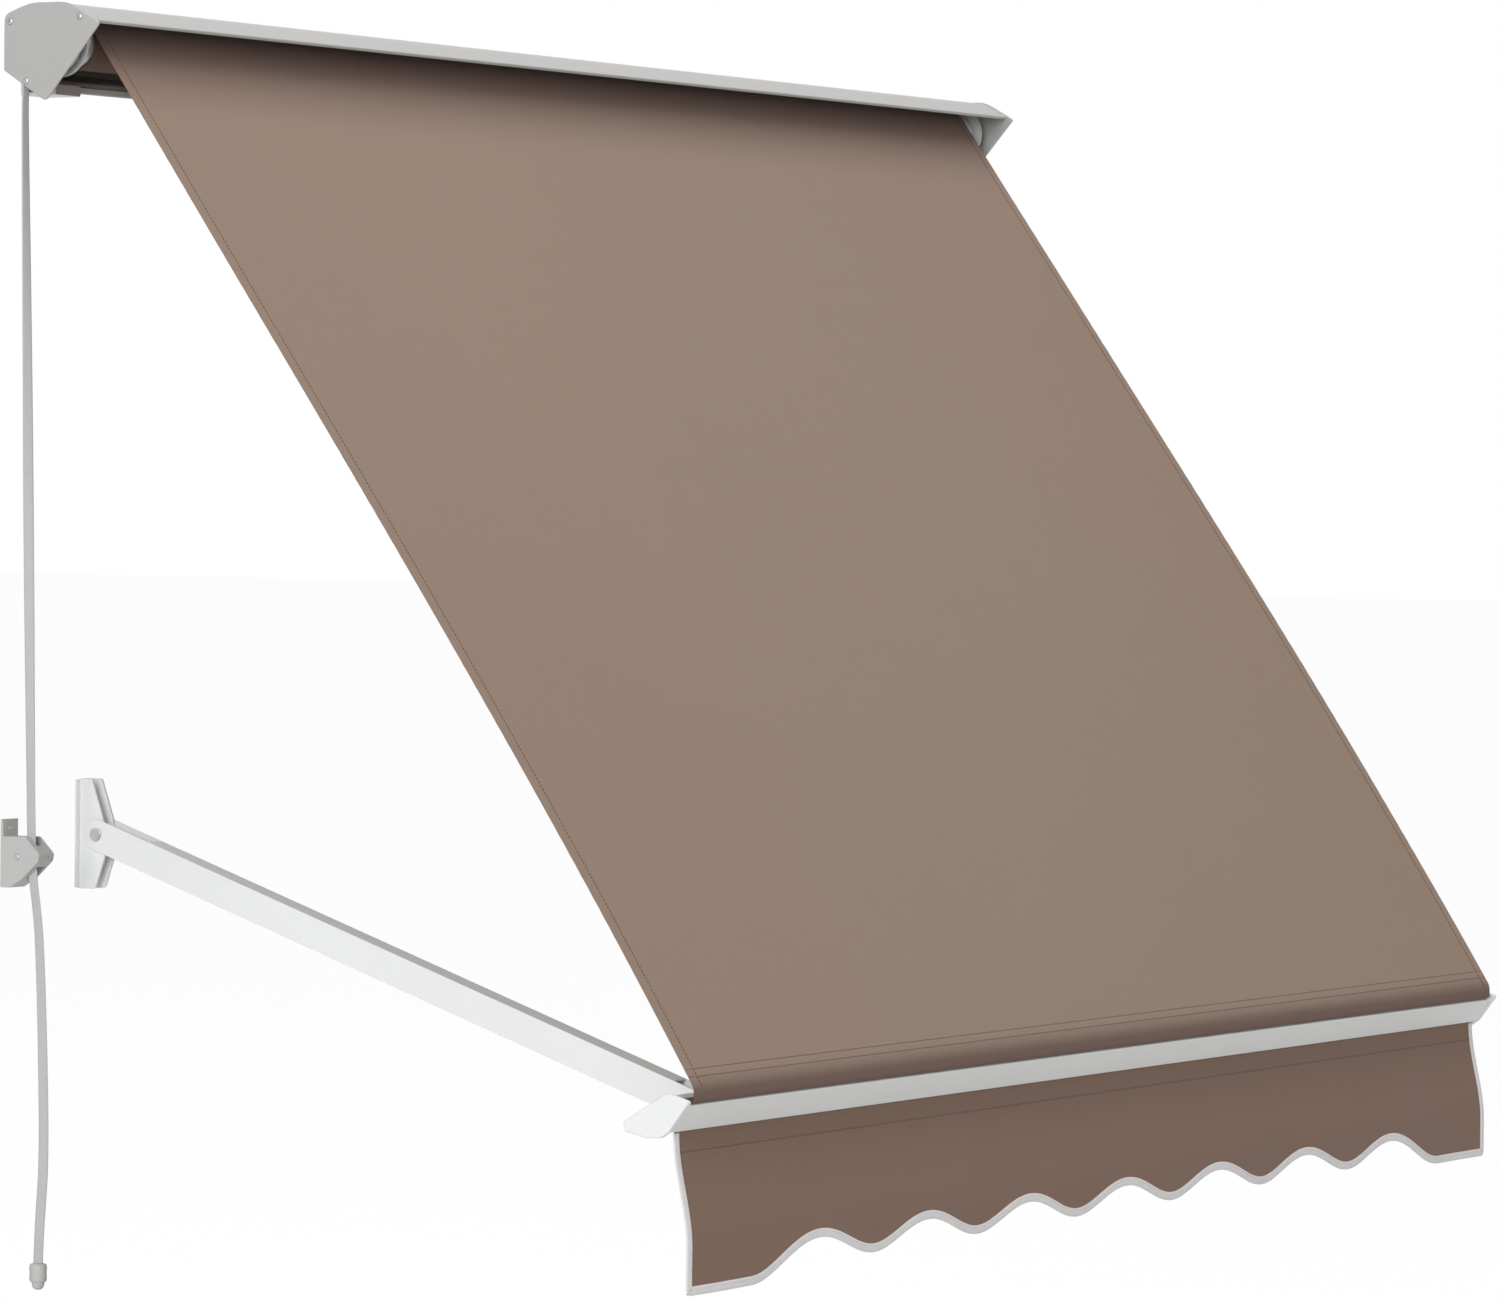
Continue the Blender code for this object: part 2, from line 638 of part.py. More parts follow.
def canopy_line():
    """Tangent point, direction and tangent angle of the cloth leaving the roll."""
    centre = Vector((-ROLLER_DEPTH, ROLLER_HEIGHT))
    target = Vector((-CANOPY_HEM[0][0], CANOPY_HEM[0][1]))
    reach = target - centre
    radius = ROLL_RADIUS + FIT_GAP + CANOPY_THICKNESS / 2
    lead = atan2(reach.y, reach.x)
    angle = lead - atan2(sqrt(reach.length_squared - radius ** 2), radius)
    tangent = centre + Vector((cos(angle), sin(angle))) * radius
    return tangent, (target - tangent).normalized(), angle


def make_canopy(shop):
    tangent, along, _ = canopy_line()
    rod_top = CANOPY_POCKET[1] + KEDER_ROD + FIT_GAP
    start = tangent + along * CANOPY_START
    path = [(-start.x, start.y, 0), *CANOPY_HEM, (CANOPY_POCKET[0], rod_top, 0)]
    outline = depth_points(ribbon(path, CANOPY_THICKNESS, -CANOPY_THICKNESS / 2))
    canopy = shop.outline("canopy", [outline], -FABRIC_HALF, FABRIC_HALF, TAUPE)
    axis = (0, -ROLLER_DEPTH, ROLLER_HEIGHT)
    hang_on(shop.joint("canopy_axis", axis), [canopy])


# Arms and wall brackets

def make_bracket(shop, side):
    word = "left" if side < 0 else "right"
    centre = side * ARM_X
    top, bottom = ARM_PIVOT_HEIGHT + BRACKET_UP, ARM_PIVOT_HEIGHT - BRACKET_DOWN
    corners = [(0.0, top, 0), (0.016, top, 0.002), (0.0305, ARM_PIVOT_HEIGHT + 0.014, 0.012),
               (0.0325, ARM_PIVOT_HEIGHT - 0.020, 0.010), (0.021, bottom, 0.005),
               (0.0, bottom, 0.001)]
    outline = depth_points(fillet_path(corners, closed=True))
    half = LUG_WIDTH / 2
    bracket = shop.outline(f"{word}_arm_bracket", [outline], centre - half, centre + half,
                           WHITE_PAINT)
    wide = BRACKET_PLATE_WIDTH / 2
    plate = shop.box(f"{word}_bracket_plate", (centre - wide, -BRACKET_WALL, bottom + 0.001),
                     (centre + wide, 0, top - 0.001))
    shop.boolean(bracket, plate, "UNION")
    inner = half - BRACKET_WALL
    pocket = shop.box(f"{word}_bracket_pocket", (centre - inner, -0.06, bottom - 0.01),
                      (centre + inner, -BRACKET_WALL, top + 0.01))
    shop.boolean(bracket, pocket)
    pivot = (-ARM_PIVOT_DEPTH, ARM_PIVOT_HEIGHT)
    bore = shop.rod(f"{word}_bracket_bore", (centre - 0.03, *pivot), (centre + 0.03, *pivot),
                    ARM_PIN_RADIUS + FIT_GAP)
    shop.boolean(bracket, bore)
    for step in (BRACKET_HOLE_REACH, -BRACKET_HOLE_REACH):
        wall_hole(shop, bracket, centre, ARM_PIVOT_HEIGHT + step)
    pivot_pin(shop, f"{word}_wall_pin", centre, *pivot)


def pivot_pin(shop, name, centre, depth, height):
    """A rivet through both walls of an arm, with a head on each side."""
    reach = ARM_WIDTH / 2 + FIT_GAP
    outer = reach + ARM_PIN_HEAD_HEIGHT
    dome = ARM_PIN_HEAD * 0.7
    profile = [(0, outer), (dome, outer), (ARM_PIN_HEAD, outer - 0.0008), (ARM_PIN_HEAD, reach),
               (ARM_PIN_RADIUS, reach), (ARM_PIN_RADIUS, -reach), (ARM_PIN_HEAD, -reach),
               (ARM_PIN_HEAD, 0.0008 - outer), (dome, -outer), (0, -outer)]
    return shop.turned(name, profile, (centre, depth, height), (1, 0, 0), STEEL, 16)


def make_arm(shop, side):
    """A box-section arm with round ends, open where it straddles bracket and lug."""
    word = "left" if side < 0 else "right"
    centre = side * ARM_X
    radius = ARM_HEIGHT / 2
    steps = 8
    outline = [Vector((radius * sin(pi * i / steps), radius * cos(pi * i / steps)))
               for i in range(steps + 1)]
    outline += [Vector((-ARM_LENGTH - p.x, -p.y)) for p in outline]
    arm = shop.outline(f"{word}_arm", [outline], -ARM_WIDTH / 2, ARM_WIDTH / 2, WHITE_PAINT)
    inner = ARM_WIDTH / 2 - ARM_WALL
    hollow = radius - ARM_WALL
    cuts = (
        ("hollow", (-ARM_LENGTH - 0.05, -hollow), (0.05, hollow)),
        ("top_slot", (-ARM_TOP_SLOT, -hollow), (0.05, 0.05)),
        ("bottom_slot", (-ARM_BOTTOM_SLOT, -0.05), (0.05, hollow)),
        ("front_slot", (-ARM_LENGTH - 0.05, -0.05), (ARM_FRONT_SLOT - ARM_LENGTH, 0.05)),
    )
    turn = Matrix.Rotation(ARM_DROP, 4, "X")
    place = Matrix.Translation((centre, -ARM_PIVOT_DEPTH, ARM_PIVOT_HEIGHT)) @ turn
    arm.matrix_world = place @ arm.matrix_world
    for label, low, high in cuts:
        tool = shop.box(f"{word}_arm_{label}", (-inner, *low), (inner, *high))
        bpy.context.view_layer.update()
        tool.matrix_world = place @ tool.matrix_world
        shop.boolean(arm, tool)
    for label, along in (("wall", 0.0), ("front", -ARM_LENGTH)):
        bore = shop.rod(f"{word}_arm_{label}_bore", (-0.03, along, 0), (0.03, along, 0),
                        ARM_PIN_RADIUS + FIT_GAP)
        bpy.context.view_layer.update()
        bore.matrix_world = place @ bore.matrix_world
        shop.boolean(arm, bore)
    hang_on(shop.joint(f"{word}_arm_axis", (centre, -ARM_PIVOT_DEPTH, ARM_PIVOT_HEIGHT)), [arm])


# Front rail

def rail_outline():
    nose, crest, toe = RAIL_NOSE, RAIL_CREST, RAIL_TOE
    corners = [(*nose, 0.0015), (*crest, 0.003), (RAIL_BACK, crest[1] - 0.0035, 0.001),
               (RAIL_BACK, toe[1] - 0.0005, 0.0015), (toe[0], toe[1], 0.0015)]
    return corners


def make_rail(shop):
    corners = rail_outline()
    outline = depth_points(fillet_path(corners, closed=True))
    rail = shop.outline("front_rail", [outline], -RAIL_HALF, RAIL_HALF, WHITE_PAINT)
    reach = RAIL_HALF + 0.01
    half = KEDER_SLOT / 2
    swing = Vector((-sin(VALANCE_SWING), -cos(VALANCE_SWING))) * MOUTH_REACH
    clear = half / cos(VALANCE_SWING)
    mouths = {
        "canopy": (CANOPY_POCKET, [(half, 0), (half, MOUTH_REACH), (-half, MOUTH_REACH),
                                   (-half, 0)]),
        "valance": (VALANCE_POCKET, [(half, 0), (half, -MOUTH_REACH),
                                     (swing.x - clear, swing.y), (-clear, 0)]),
    }
    for label, ((depth, height), corners_from_pocket) in mouths.items():
        groove = shop.rod(f"{label}_groove", (-reach, -depth, height), (reach, -depth, height),
                          KEDER_POCKET, steps=16)
        shop.boolean(rail, groove)
        shape = [Vector((-depth - x, height + y)) for x, y in corners_from_pocket]
        shop.boolean(rail, shop.outline(f"{label}_mouth", [shape], -reach, reach))
    chamber = move_edges(corners, [RAIL_WALL] * len(corners))
    drop = KEDER_POCKET + RAIL_WALL
    ceiling, floor = CANOPY_POCKET[1] - drop, VALANCE_POCKET[1] + drop
    front = RAIL_NOSE[0] - (RAIL_NOSE[0] - RAIL_TOE[0]) * (
        (RAIL_NOSE[1] - floor) / (RAIL_NOSE[1] - RAIL_TOE[1])) - RAIL_WALL * 1.4
    room = [(chamber[2][0], ceiling, 0.0005), (front, ceiling, 0.0005),
            (front, floor, 0.0005), (chamber[2][0], floor, 0.0005)]
    hollow = shop.outline("rail_chamber", [depth_points(fillet_path(room, closed=True))],
                          -reach, reach)
    shop.boolean(rail, hollow)
    return rail, room


def make_hem_rod(shop, label, pocket):
    depth, height = pocket
    return shop.rod(f"{label}_hem_rod", (-FABRIC_HALF, -depth, height),
                    (FABRIC_HALF, -depth, height), KEDER_ROD, WHITE_PLASTIC, steps=12)


def make_rail_cap(shop, side, room):
    """A lozenge end cap with a spigot in the rail's chamber."""
    word = "left" if side < 0 else "right"
    outline = depth_points(fillet_path(CAP_CORNERS, closed=True))
    inner = side * (RAIL_HALF + FIT_GAP)
    outer = inner + side * CAP_THICKNESS
    low, high = sorted((inner, outer))
    cap = shop.outline(f"{word}_rail_cap", [outline], low, high, WHITE_PLASTIC, rim=CAP_RIM)
    spigot = move_edges(room, [FIT_GAP] * len(room))
    low, high = sorted((inner + side * CAP_THICKNESS / 2, inner - side * CAP_SPIGOT))
    peg = shop.outline(f"{word}_cap_spigot", [depth_points(fillet_path(spigot, closed=True))],
                       low, high)
    shop.boolean(cap, peg, "UNION")
    return cap


def make_lug(shop, side):
    """The lug on the rail's back that carries the arm's front pivot."""
    word = "left" if side < 0 else "right"
    centre = side * ARM_X
    back = RAIL_BACK - FIT_GAP
    top = RAIL_CREST[1] - 0.006
    bottom = RAIL_TOE[1] + 0.003
    pivot = Vector((ARM_FRONT_DEPTH, ARM_FRONT_HEIGHT))
    corners = [(back, top, 0), (back - LUG_PLATE, top, 0), (pivot.x + 0.004, pivot.y + LUG_RADIUS, 0.003),
               (pivot.x - LUG_RADIUS, pivot.y + LUG_RADIUS, LUG_RADIUS * 0.95),
               (pivot.x - LUG_RADIUS, pivot.y - LUG_RADIUS, LUG_RADIUS * 0.95),
               (back - LUG_PLATE, bottom + 0.004, 0.002), (back - LUG_PLATE, bottom, 0),
               (back, bottom, 0)]
    outline = depth_points(fillet_path(corners, closed=True))
    half = LUG_WIDTH / 2
    lug = shop.outline(f"{word}_rail_lug", [outline], centre - half, centre + half, ALUMINIUM)
    place = (-pivot.x, pivot.y)
    bore = shop.rod(f"{word}_lug_bore", (centre - 0.03, *place), (centre + 0.03, *place),
                    ARM_PIN_RADIUS + FIT_GAP)
    shop.boolean(lug, bore)
    return [lug, pivot_pin(shop, f"{word}_front_pin", centre, *place)]


# Valance

def valance_depth(height):
    """Distance from the wall of the hanging cloth, which flares out below the rail."""
    drop = max(0.0, RAIL_TOE[1] - height - 0.002) / VALANCE_FLARE_DROP
    share = min(1.0, drop)
    return VALANCE_POCKET[0] + VALANCE_FLARE * share * share * (3 - 2 * share)


def scallop_edge(x):
    """Height of the valance's bottom edge at one place along the width."""
    outer = SCALLOP_PITCH * SCALLOP_COUNT / 2
    if abs(x) < outer:
        wave = 1 - cos(2 * pi * (x + outer) / SCALLOP_PITCH)
        return VALANCE_CREST - SCALLOP_DEPTH * wave / 2
    share = min(1.0, (abs(x) - outer) / END_LOBE_RUN)
    return VALANCE_CREST - END_LOBE_DEPTH * (1 - cos(pi * share)) / 2


def cloth_sheet(shop, name, rows, thickness, finish):
    """A sheet through rows of points, made solid about its middle."""
    mesh = bpy.data.meshes.new(name)
    work = bmesh.new()
    grid = [[work.verts.new((x, -valance_depth(z), z)) for x, z in row] for row in rows]
    for upper, lower in zip(grid, grid[1:]):
        for i in range(len(upper) - 1):
            work.faces.new((upper[i], upper[i + 1], lower[i + 1], lower[i]))
    work.to_mesh(mesh)
    work.free()
    sheet = shop.add(name, mesh, finish)
    solid = sheet.modifiers.new("cloth", "SOLIDIFY")
    solid.thickness = thickness
    solid.offset = 0.0
    solid.use_even_offset = False
    return freeze(sheet)


def make_valance(shop):
    half = VALANCE_WIDTH / 2
    inset = BINDING_WIDTH + FIT_GAP
    top = VALANCE_POCKET[1] - KEDER_ROD - FIT_GAP
    inner = half - inset
    places = [inner * (2 * i / EDGE_STEPS - 1) for i in range(EDGE_STEPS + 1)]
    shares = (0.0, 0.12, 0.32, 0.58, 1.0)
    rows = [[(x, top + (scallop_edge(x) + inset - top) * share) for x in places]
            for share in shares]
    valance = cloth_sheet(shop, "valance", rows, VALANCE_THICKNESS, VALANCE_TAUPE)
    start = RAIL_TOE[1] - 0.0015
    outer, inside = [], []
    side_steps = 8
    band = half - BINDING_WIDTH
    for sign in (-1, 1):
        low = scallop_edge(half)
        side_out = [(sign * half, start + (low - start) * i / side_steps)
                    for i in range(side_steps)]
        side_in = [(sign * band, start + (low + BINDING_WIDTH - start) * i / side_steps)
                   for i in range(side_steps)]
        if sign < 0:
            outer, inside = side_out, side_in
            run = [(2 * i / EDGE_STEPS - 1) for i in range(EDGE_STEPS + 1)]
            outer += [(half * t, scallop_edge(half * t)) for t in run]
            inside += [(band * t, scallop_edge(band * t) + BINDING_WIDTH) for t in run]
        else:
            outer += side_out[::-1]
            inside += side_in[::-1]
    binding = cloth_sheet(shop, "valance_binding", [inside, outer], BINDING_THICKNESS, PALE_TAPE)
    axis = (0, -VALANCE_POCKET[0], VALANCE_POCKET[1])
    hinge = shop.joint("valance_axis", axis)
    hang_on(hinge, [valance, binding, make_hem_rod(shop, "valance", VALANCE_POCKET)])
    return hinge


def make_front(shop):
    rail, room = make_rail(shop)
    pieces = [rail, make_hem_rod(shop, "canopy", CANOPY_POCKET)]
    for side in (-1, 1):
        pieces.append(make_rail_cap(shop, side, room))
        pieces += make_lug(shop, side)
    hinge = shop.joint("rail_axis", (0, -ARM_FRONT_DEPTH, ARM_FRONT_HEIGHT))
    hang_on(hinge, [*pieces, make_valance(shop)])


# Strap and strap lock

def make_strap(shop):
    """The free webbing, from the spool through the lock to the bead."""
    curve = bpy.data.curves.new("strap", "CURVE")
    curve.dimensions = "3D"
    curve.bevel_mode = "ROUND"
    curve.bevel_depth = STRAP_THICKNESS / 2
    curve.bevel_resolution = 0
    curve.extrude = (STRAP_WIDTH - STRAP_THICKNESS) / 2
    curve.use_fill_caps = True
    curve.twist_mode = "MINIMUM"
    points = smooth_route()
    spline = curve.splines.new("POLY")
    spline.points.add(len(points) - 1)
    for (depth, height, turn), target in zip(points, spline.points):
        target.co = (STRAP_X, -depth, height, 1.0)
        target.tilt = radians(turn) + pi / 2
    strap = shop.add("strap", curve, WEBBING)
    return strap


def smooth_route(spacing=0.022):
    """Points along a smooth curve through the strap's own points."""
    route = [Vector(p) for p in STRAP_ROUTE]
    points = []
    for index in range(len(route) - 1):
        a, b = route[index], route[index + 1]
        before = route[max(index - 1, 0)]
        after = route[min(index + 2, len(route) - 1)]
        gap = sqrt((b.x - a.x) ** 2 + (b.y - a.y) ** 2)
        steps = max(1, round(gap / spacing))
        for step in range(steps):
            t = step / steps
            points.append(0.5 * (2 * a + (b - before) * t
                                 + (2 * before - 5 * a + 4 * b - after) * t ** 2
                                 + (3 * a - before - 3 * b + after) * t ** 3))
    points.append(route[-1])
    return points


def make_bead(shop):
    """The bead on the strap's end, with the knotted tip below it."""
    depth, height, _ = STRAP_ROUTE[-1]
    top = height - FIT_GAP
    profile = [(0, 0), (BEAD_RADIUS - 0.001, 0), (BEAD_RADIUS, 0.001),
               (BEAD_RADIUS, BEAD_LENGTH - 0.001), (BEAD_RADIUS - 0.001, BEAD_LENGTH),
               (BEAD_KNOB, BEAD_LENGTH), (BEAD_KNOB, BEAD_LENGTH + 0.002),
               (BEAD_KNOB * 0.75, BEAD_LENGTH + 0.0055), (0, BEAD_LENGTH + 0.0075)]
    return shop.turned("strap_end_bead", profile[::-1], (STRAP_X, -depth, top), (0, 0, -1),
                       WHITE_PLASTIC, 20)


def make_lock(shop):
    half = LOCK_WIDTH / 2
    low, high = LOCK_CENTRE - half, LOCK_CENTRE + half
    nose = LOCK_NOSE
    corners = [(0.0, LOCK_TOP, 0), (LOCK_PLATE, LOCK_TOP, 0.0008),
               (LOCK_PLATE, LOCK_SHOULDER, 0), (0.030, LOCK_SHOULDER, 0.002),
               (nose[0] - 0.0005, nose[1] + 0.0035, 0.002), (nose[0] - 0.0020, nose[1] - 0.0035, 0.002),
               (0.0260, -0.7975, 0.004), (0.0110, LOCK_BOTTOM, 0.003), (0.0, LOCK_BOTTOM, 0)]
    body = shop.outline("strap_lock_body", [depth_points(fillet_path(corners, closed=True))],
                        low, high, WHITE_PLASTIC)
    near, far = LOCK_SLOT_DEPTHS
    left = STRAP_X - STRAP_THICKNESS / 2 - LOCK_SLOT_GAP
    slot = shop.box("lock_slot", (left, -far, LOCK_BOTTOM - 0.01),
                    (LOCK_CENTRE + LOCK_SLOT_RIGHT, -near, LOCK_SHOULDER + 0.01))
    shop.boolean(body, slot)
    pin_x = LOCK_CENTRE + 0.0040
    height = nose[1]
    bore = shop.rod("cam_pin_bore", (pin_x, -nose[0] - 0.01, height),
                    (pin_x, -near + CAM_PIN_SEAT + FIT_GAP, height), CAM_PIN + FIT_GAP, steps=16)
    shop.boolean(body, bore)
    rivet_at = (-RIVET_DEPTH, height)
    hole = shop.rod("lock_rivet_bore", (low - 0.01, *rivet_at), (high + 0.01, *rivet_at),
                    RIVET_RADIUS + FIT_GAP, steps=16)
    shop.boolean(body, hole)
    wall_hole(shop, body, LOCK_CENTRE, (LOCK_TOP + LOCK_SHOULDER) / 2)
    rivet_reach = half + FIT_GAP
    head = RIVET_RADIUS * 1.7
    profile = [(0, rivet_reach + 0.0012), (head * 0.7, rivet_reach + 0.0012),
               (head, rivet_reach + 0.0006), (head, rivet_reach), (RIVET_RADIUS, rivet_reach),
               (RIVET_RADIUS, -rivet_reach), (head, -rivet_reach), (head, -rivet_reach - 0.0006),
               (head * 0.7, -rivet_reach - 0.0012), (0, -rivet_reach - 0.0012)]
    shop.turned("strap_lock_rivet", profile, (LOCK_CENTRE, *rivet_at), (1, 0, 0), STEEL, 16)
    shop.rod("strap_lock_cam_pin", (pin_x, -nose[0] + 0.0022, height),
             (pin_x, -near + CAM_PIN_SEAT, height), CAM_PIN, STEEL, steps=16)
    lean = radians(200)
    swing = Vector((cos(lean), sin(lean))) * CAM_OFFSET
    outline = circle(swing.x, swing.y, CAM_RADIUS, 28)
    hub = circle(0, 0, CAM_PIN + FIT_GAP, 16)
    cam = shop.outline("strap_lock_cam", [outline, hub], near + FIT_GAP, far - FIT_GAP,
                       ALUMINIUM, turn=(pi / 2, 0, 0))
    cam.location = (pin_x, -(near + far) / 2, height)
    hang_on(shop.joint("strap_lock_cam_axis", (pin_x, -(near + far) / 2, height)), [cam])


def main():
    clear_scene()
    shop = Workshop()
    make_cassette(shop)
    make_roller(shop)
    make_canopy(shop)
    for side in (-1, 1):
        make_bracket(shop, side)
        make_arm(shop, side)
    make_front(shop)
    make_strap(shop)
    make_bead(shop)
    make_lock(shop)


main()
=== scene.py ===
"""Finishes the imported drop-arm window awning: painted profiles, cloth, webbing and stitching.

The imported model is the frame. Every visible piece is made here in the same place, rides on
one of the frame's bodies and gets its own finish.
"""

import json
from math import acos, atan2, cos, pi, radians, sin, tan

import bmesh
import bpy
from bpy.props import FloatProperty, FloatVectorProperty, PointerProperty
from mathutils import Matrix, Vector, noise


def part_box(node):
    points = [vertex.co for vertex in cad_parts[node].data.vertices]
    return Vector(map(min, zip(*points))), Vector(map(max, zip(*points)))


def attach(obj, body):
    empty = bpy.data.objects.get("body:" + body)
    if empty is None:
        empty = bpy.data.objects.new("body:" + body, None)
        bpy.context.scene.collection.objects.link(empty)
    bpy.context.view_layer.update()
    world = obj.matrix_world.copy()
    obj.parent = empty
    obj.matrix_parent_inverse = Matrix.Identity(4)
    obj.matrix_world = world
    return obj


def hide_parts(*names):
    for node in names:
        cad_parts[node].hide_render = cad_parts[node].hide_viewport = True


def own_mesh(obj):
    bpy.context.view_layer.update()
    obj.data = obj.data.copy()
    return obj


bl_info = {
    "name": "Window Awning Finisher",
    "version": (1, 0, 0),
    "blender": (4, 5, 0),
    "location": "3D View > Sidebar > Awning",
    "description": "Builds the visible pieces of a drop-arm window awning on its packed frame",
    "category": "Add Mesh",
}

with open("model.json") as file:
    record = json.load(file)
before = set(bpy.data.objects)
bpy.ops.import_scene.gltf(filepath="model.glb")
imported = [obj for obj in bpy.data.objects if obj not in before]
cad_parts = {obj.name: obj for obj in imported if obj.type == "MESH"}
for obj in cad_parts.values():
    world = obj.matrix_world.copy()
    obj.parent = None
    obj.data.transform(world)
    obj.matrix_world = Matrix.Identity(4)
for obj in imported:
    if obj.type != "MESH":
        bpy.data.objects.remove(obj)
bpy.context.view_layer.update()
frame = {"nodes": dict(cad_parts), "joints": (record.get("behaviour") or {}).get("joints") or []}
NODES = frame["nodes"]
JOINTS = {joint["name"]: joint for joint in frame["joints"]}
MILLIMETRE = 0.001

# The camera of the photograph, found from the cassette, the arms and the rail
CAMERA_PLACE = (-6.2782, -4.0709, -0.4198)
CAMERA_LENS = 167.8
CAMERA_TURN = 1.03
CAMERA_TILT = -0.0226
CAMERA_ROLL = 0.0111

# Places taken from the frame
ROLLER_AXIS = Vector(JOINTS["roller_turn"]["pos_m"])
HANG_AXIS = Vector(JOINTS["valance_swing"]["pos_m"])
CANOPY_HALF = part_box("canopy")[1].x
VALANCE_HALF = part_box("valance_binding")[1].x
ROLL_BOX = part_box("fabric_roll")
COIL_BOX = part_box("strap_coil")
ROLL_RADIUS = (ROLL_BOX[1].z - ROLL_BOX[0].z) / 2
ROLLER_TUBE_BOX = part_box("roller_tube")
TUBE_RADIUS = (ROLLER_TUBE_BOX[1].z - ROLLER_TUBE_BOX[0].z) / 2

# Canopy, as (depth from the wall, height, bend radius) after it leaves the roll
CLOTH_THICKNESS = 0.7 * MILLIMETRE
ROLL_GAP = 0.65 * MILLIMETRE
ROLL_WRAP = 9
# With the arms shut: the bends of the cloth's hem, and the depth and height of the cloth's end
CANOPY_HEM = ((0.7585, -0.9618, 0.016), (0.7588, -0.9788, 0.0032), (0.7471, -0.9710, 0.0012))
CANOPY_END = (0.7471, -0.9768)
CANOPY_COLUMNS = 150
CANOPY_ROW = 0.011
WOUND_TURNS = 1.75
# Shares of the canopy's red, green and blue in its painted shade: on the wound roll, under the
# hood and above the rail
PAINTED_SHADE_SHARES = (0.40, 0.29, 0.31)
# The painted shadow's reach from where the cloth leaves the roll, and the band of painted shade
# before the cloth's end
ROLL_SHADOW_REACH = 0.110
HEM_SHADE_BAND = (0.048, 0.020)
# Seams: from the cloth's end, from the cloth's sides, and inside the side hems' edges
CROSS_SEAMS = (0.0400, 0.0480)
CROSS_SEAM_INSET = 0.004
SIDE_SEAM_INSET = 0.003

# Valance
RAIL_TOE = -1.0035
VALANCE_FLARE = 0.016
VALANCE_FLARE_DROP = 0.105
VALANCE_CREST = -1.1190
SCALLOP_COUNT = 6
SCALLOP_PITCH = 0.2045
SCALLOP_DEPTH = 0.023
END_LOBE_DEPTH = 0.034
END_LOBE_RUN = 0.125
BINDING_WIDTH = 0.0085
VALANCE_COLUMNS = 320
VALANCE_ROWS = 22
TOP_SEAM_DROP = 0.0195

# Strap: its points are (depth from the wall, height, turn of the flat face in degrees)
STRAP_X = -0.885
STRAP_WIDTH = 0.010
STRAP_THICKNESS = 1.6 * MILLIMETRE
COIL_HUB_RADIUS = 0.0192
STRAP_ROUTE = (
    (0.0201, 0.003, 0), (0.0193, -0.010, 0), (0.0176, -0.023, 0), (0.0161, -0.036, 0),
    (0.0153, -0.052, 2), (0.0154, -0.072, 4), (0.0163, -0.120, 8), (0.0186, -0.220, 20),
    (0.0212, -0.340, 36), (0.0236, -0.460, 54), (0.0262, -0.580, 72), (0.0284, -0.680, 86),
    (0.0296, -0.735, 90), (0.0303, -0.757, 90), (0.0313, -0.777, 90), (0.0332, -0.800, 90),
    (0.0370, -0.825, 90), (0.0402, -0.852, 88), (0.0430, -0.898, 84), (0.0450, -0.944, 80),
    (0.0466, -0.990, 76), (0.0478, -1.040, 74), (0.0474, -1.080, 72), (0.0456, -1.108, 72),
    (0.0440, -1.132, 74), (0.0430, -1.155, 76), (0.0427, -1.1665, 76),
)

# Looks, as (material, slot)
# The cassette's copy of the white paint is darker than the rail's and arms': painted shade
CASE_PAINT = ("cassette_paint", "white_paint")
RAIL_PAINT = ("rail_paint", "white_paint")
ARM_PAINT = ("arm_paint", "white_paint")
CAP_PAINT = ("arm_paint", "white_plastic")
# A darker copy of the white plastic than the caps wear: painted shade
PLASTIC = ("moulded_white", "white_plastic")
ALUMINIUM = ("bare_aluminium_finish", "bare_aluminium")
ZINC = ("zinc_finish", "zinc_steel")
WEBBING = ("webbing_weave", "grey_webbing")
CANOPY_CLOTH = ("canopy_weave", "taupe_cloth")
# The wound roll is the canopy cloth darkened all over: painted shade inside the cassette
SHADED_WOUND_CLOTH = ("wound_weave", "taupe_cloth")
# The valance wears a darker copy of the canopy cloth, as painted shade
VALANCE_CLOTH = ("valance_weave", "valance_cloth")
TAPE = ("binding_tape", "pale_tape")

# Stage
FLOOR_HEIGHT = -1.46
FLOOR_REACH = 60.0
FLOOR_COLOUR = (0.80, 0.80, 0.80)
# Share and strength of the floor's own white, as the camera sees it
FLOOR_WHITE = 0.93
FLOOR_GLOW = 1.035
LAMP_TARGET = (0, -0.35, -0.5)
# Setting that holds the lamp's power, its place and its size
LAMPS = (("top", (0.3, -1.2, 5.2), 5.0), ("side", (-6.5, -2.2, 1.2), 3.5),
         ("front", (3.0, -6.0, 0.6), 3.5))


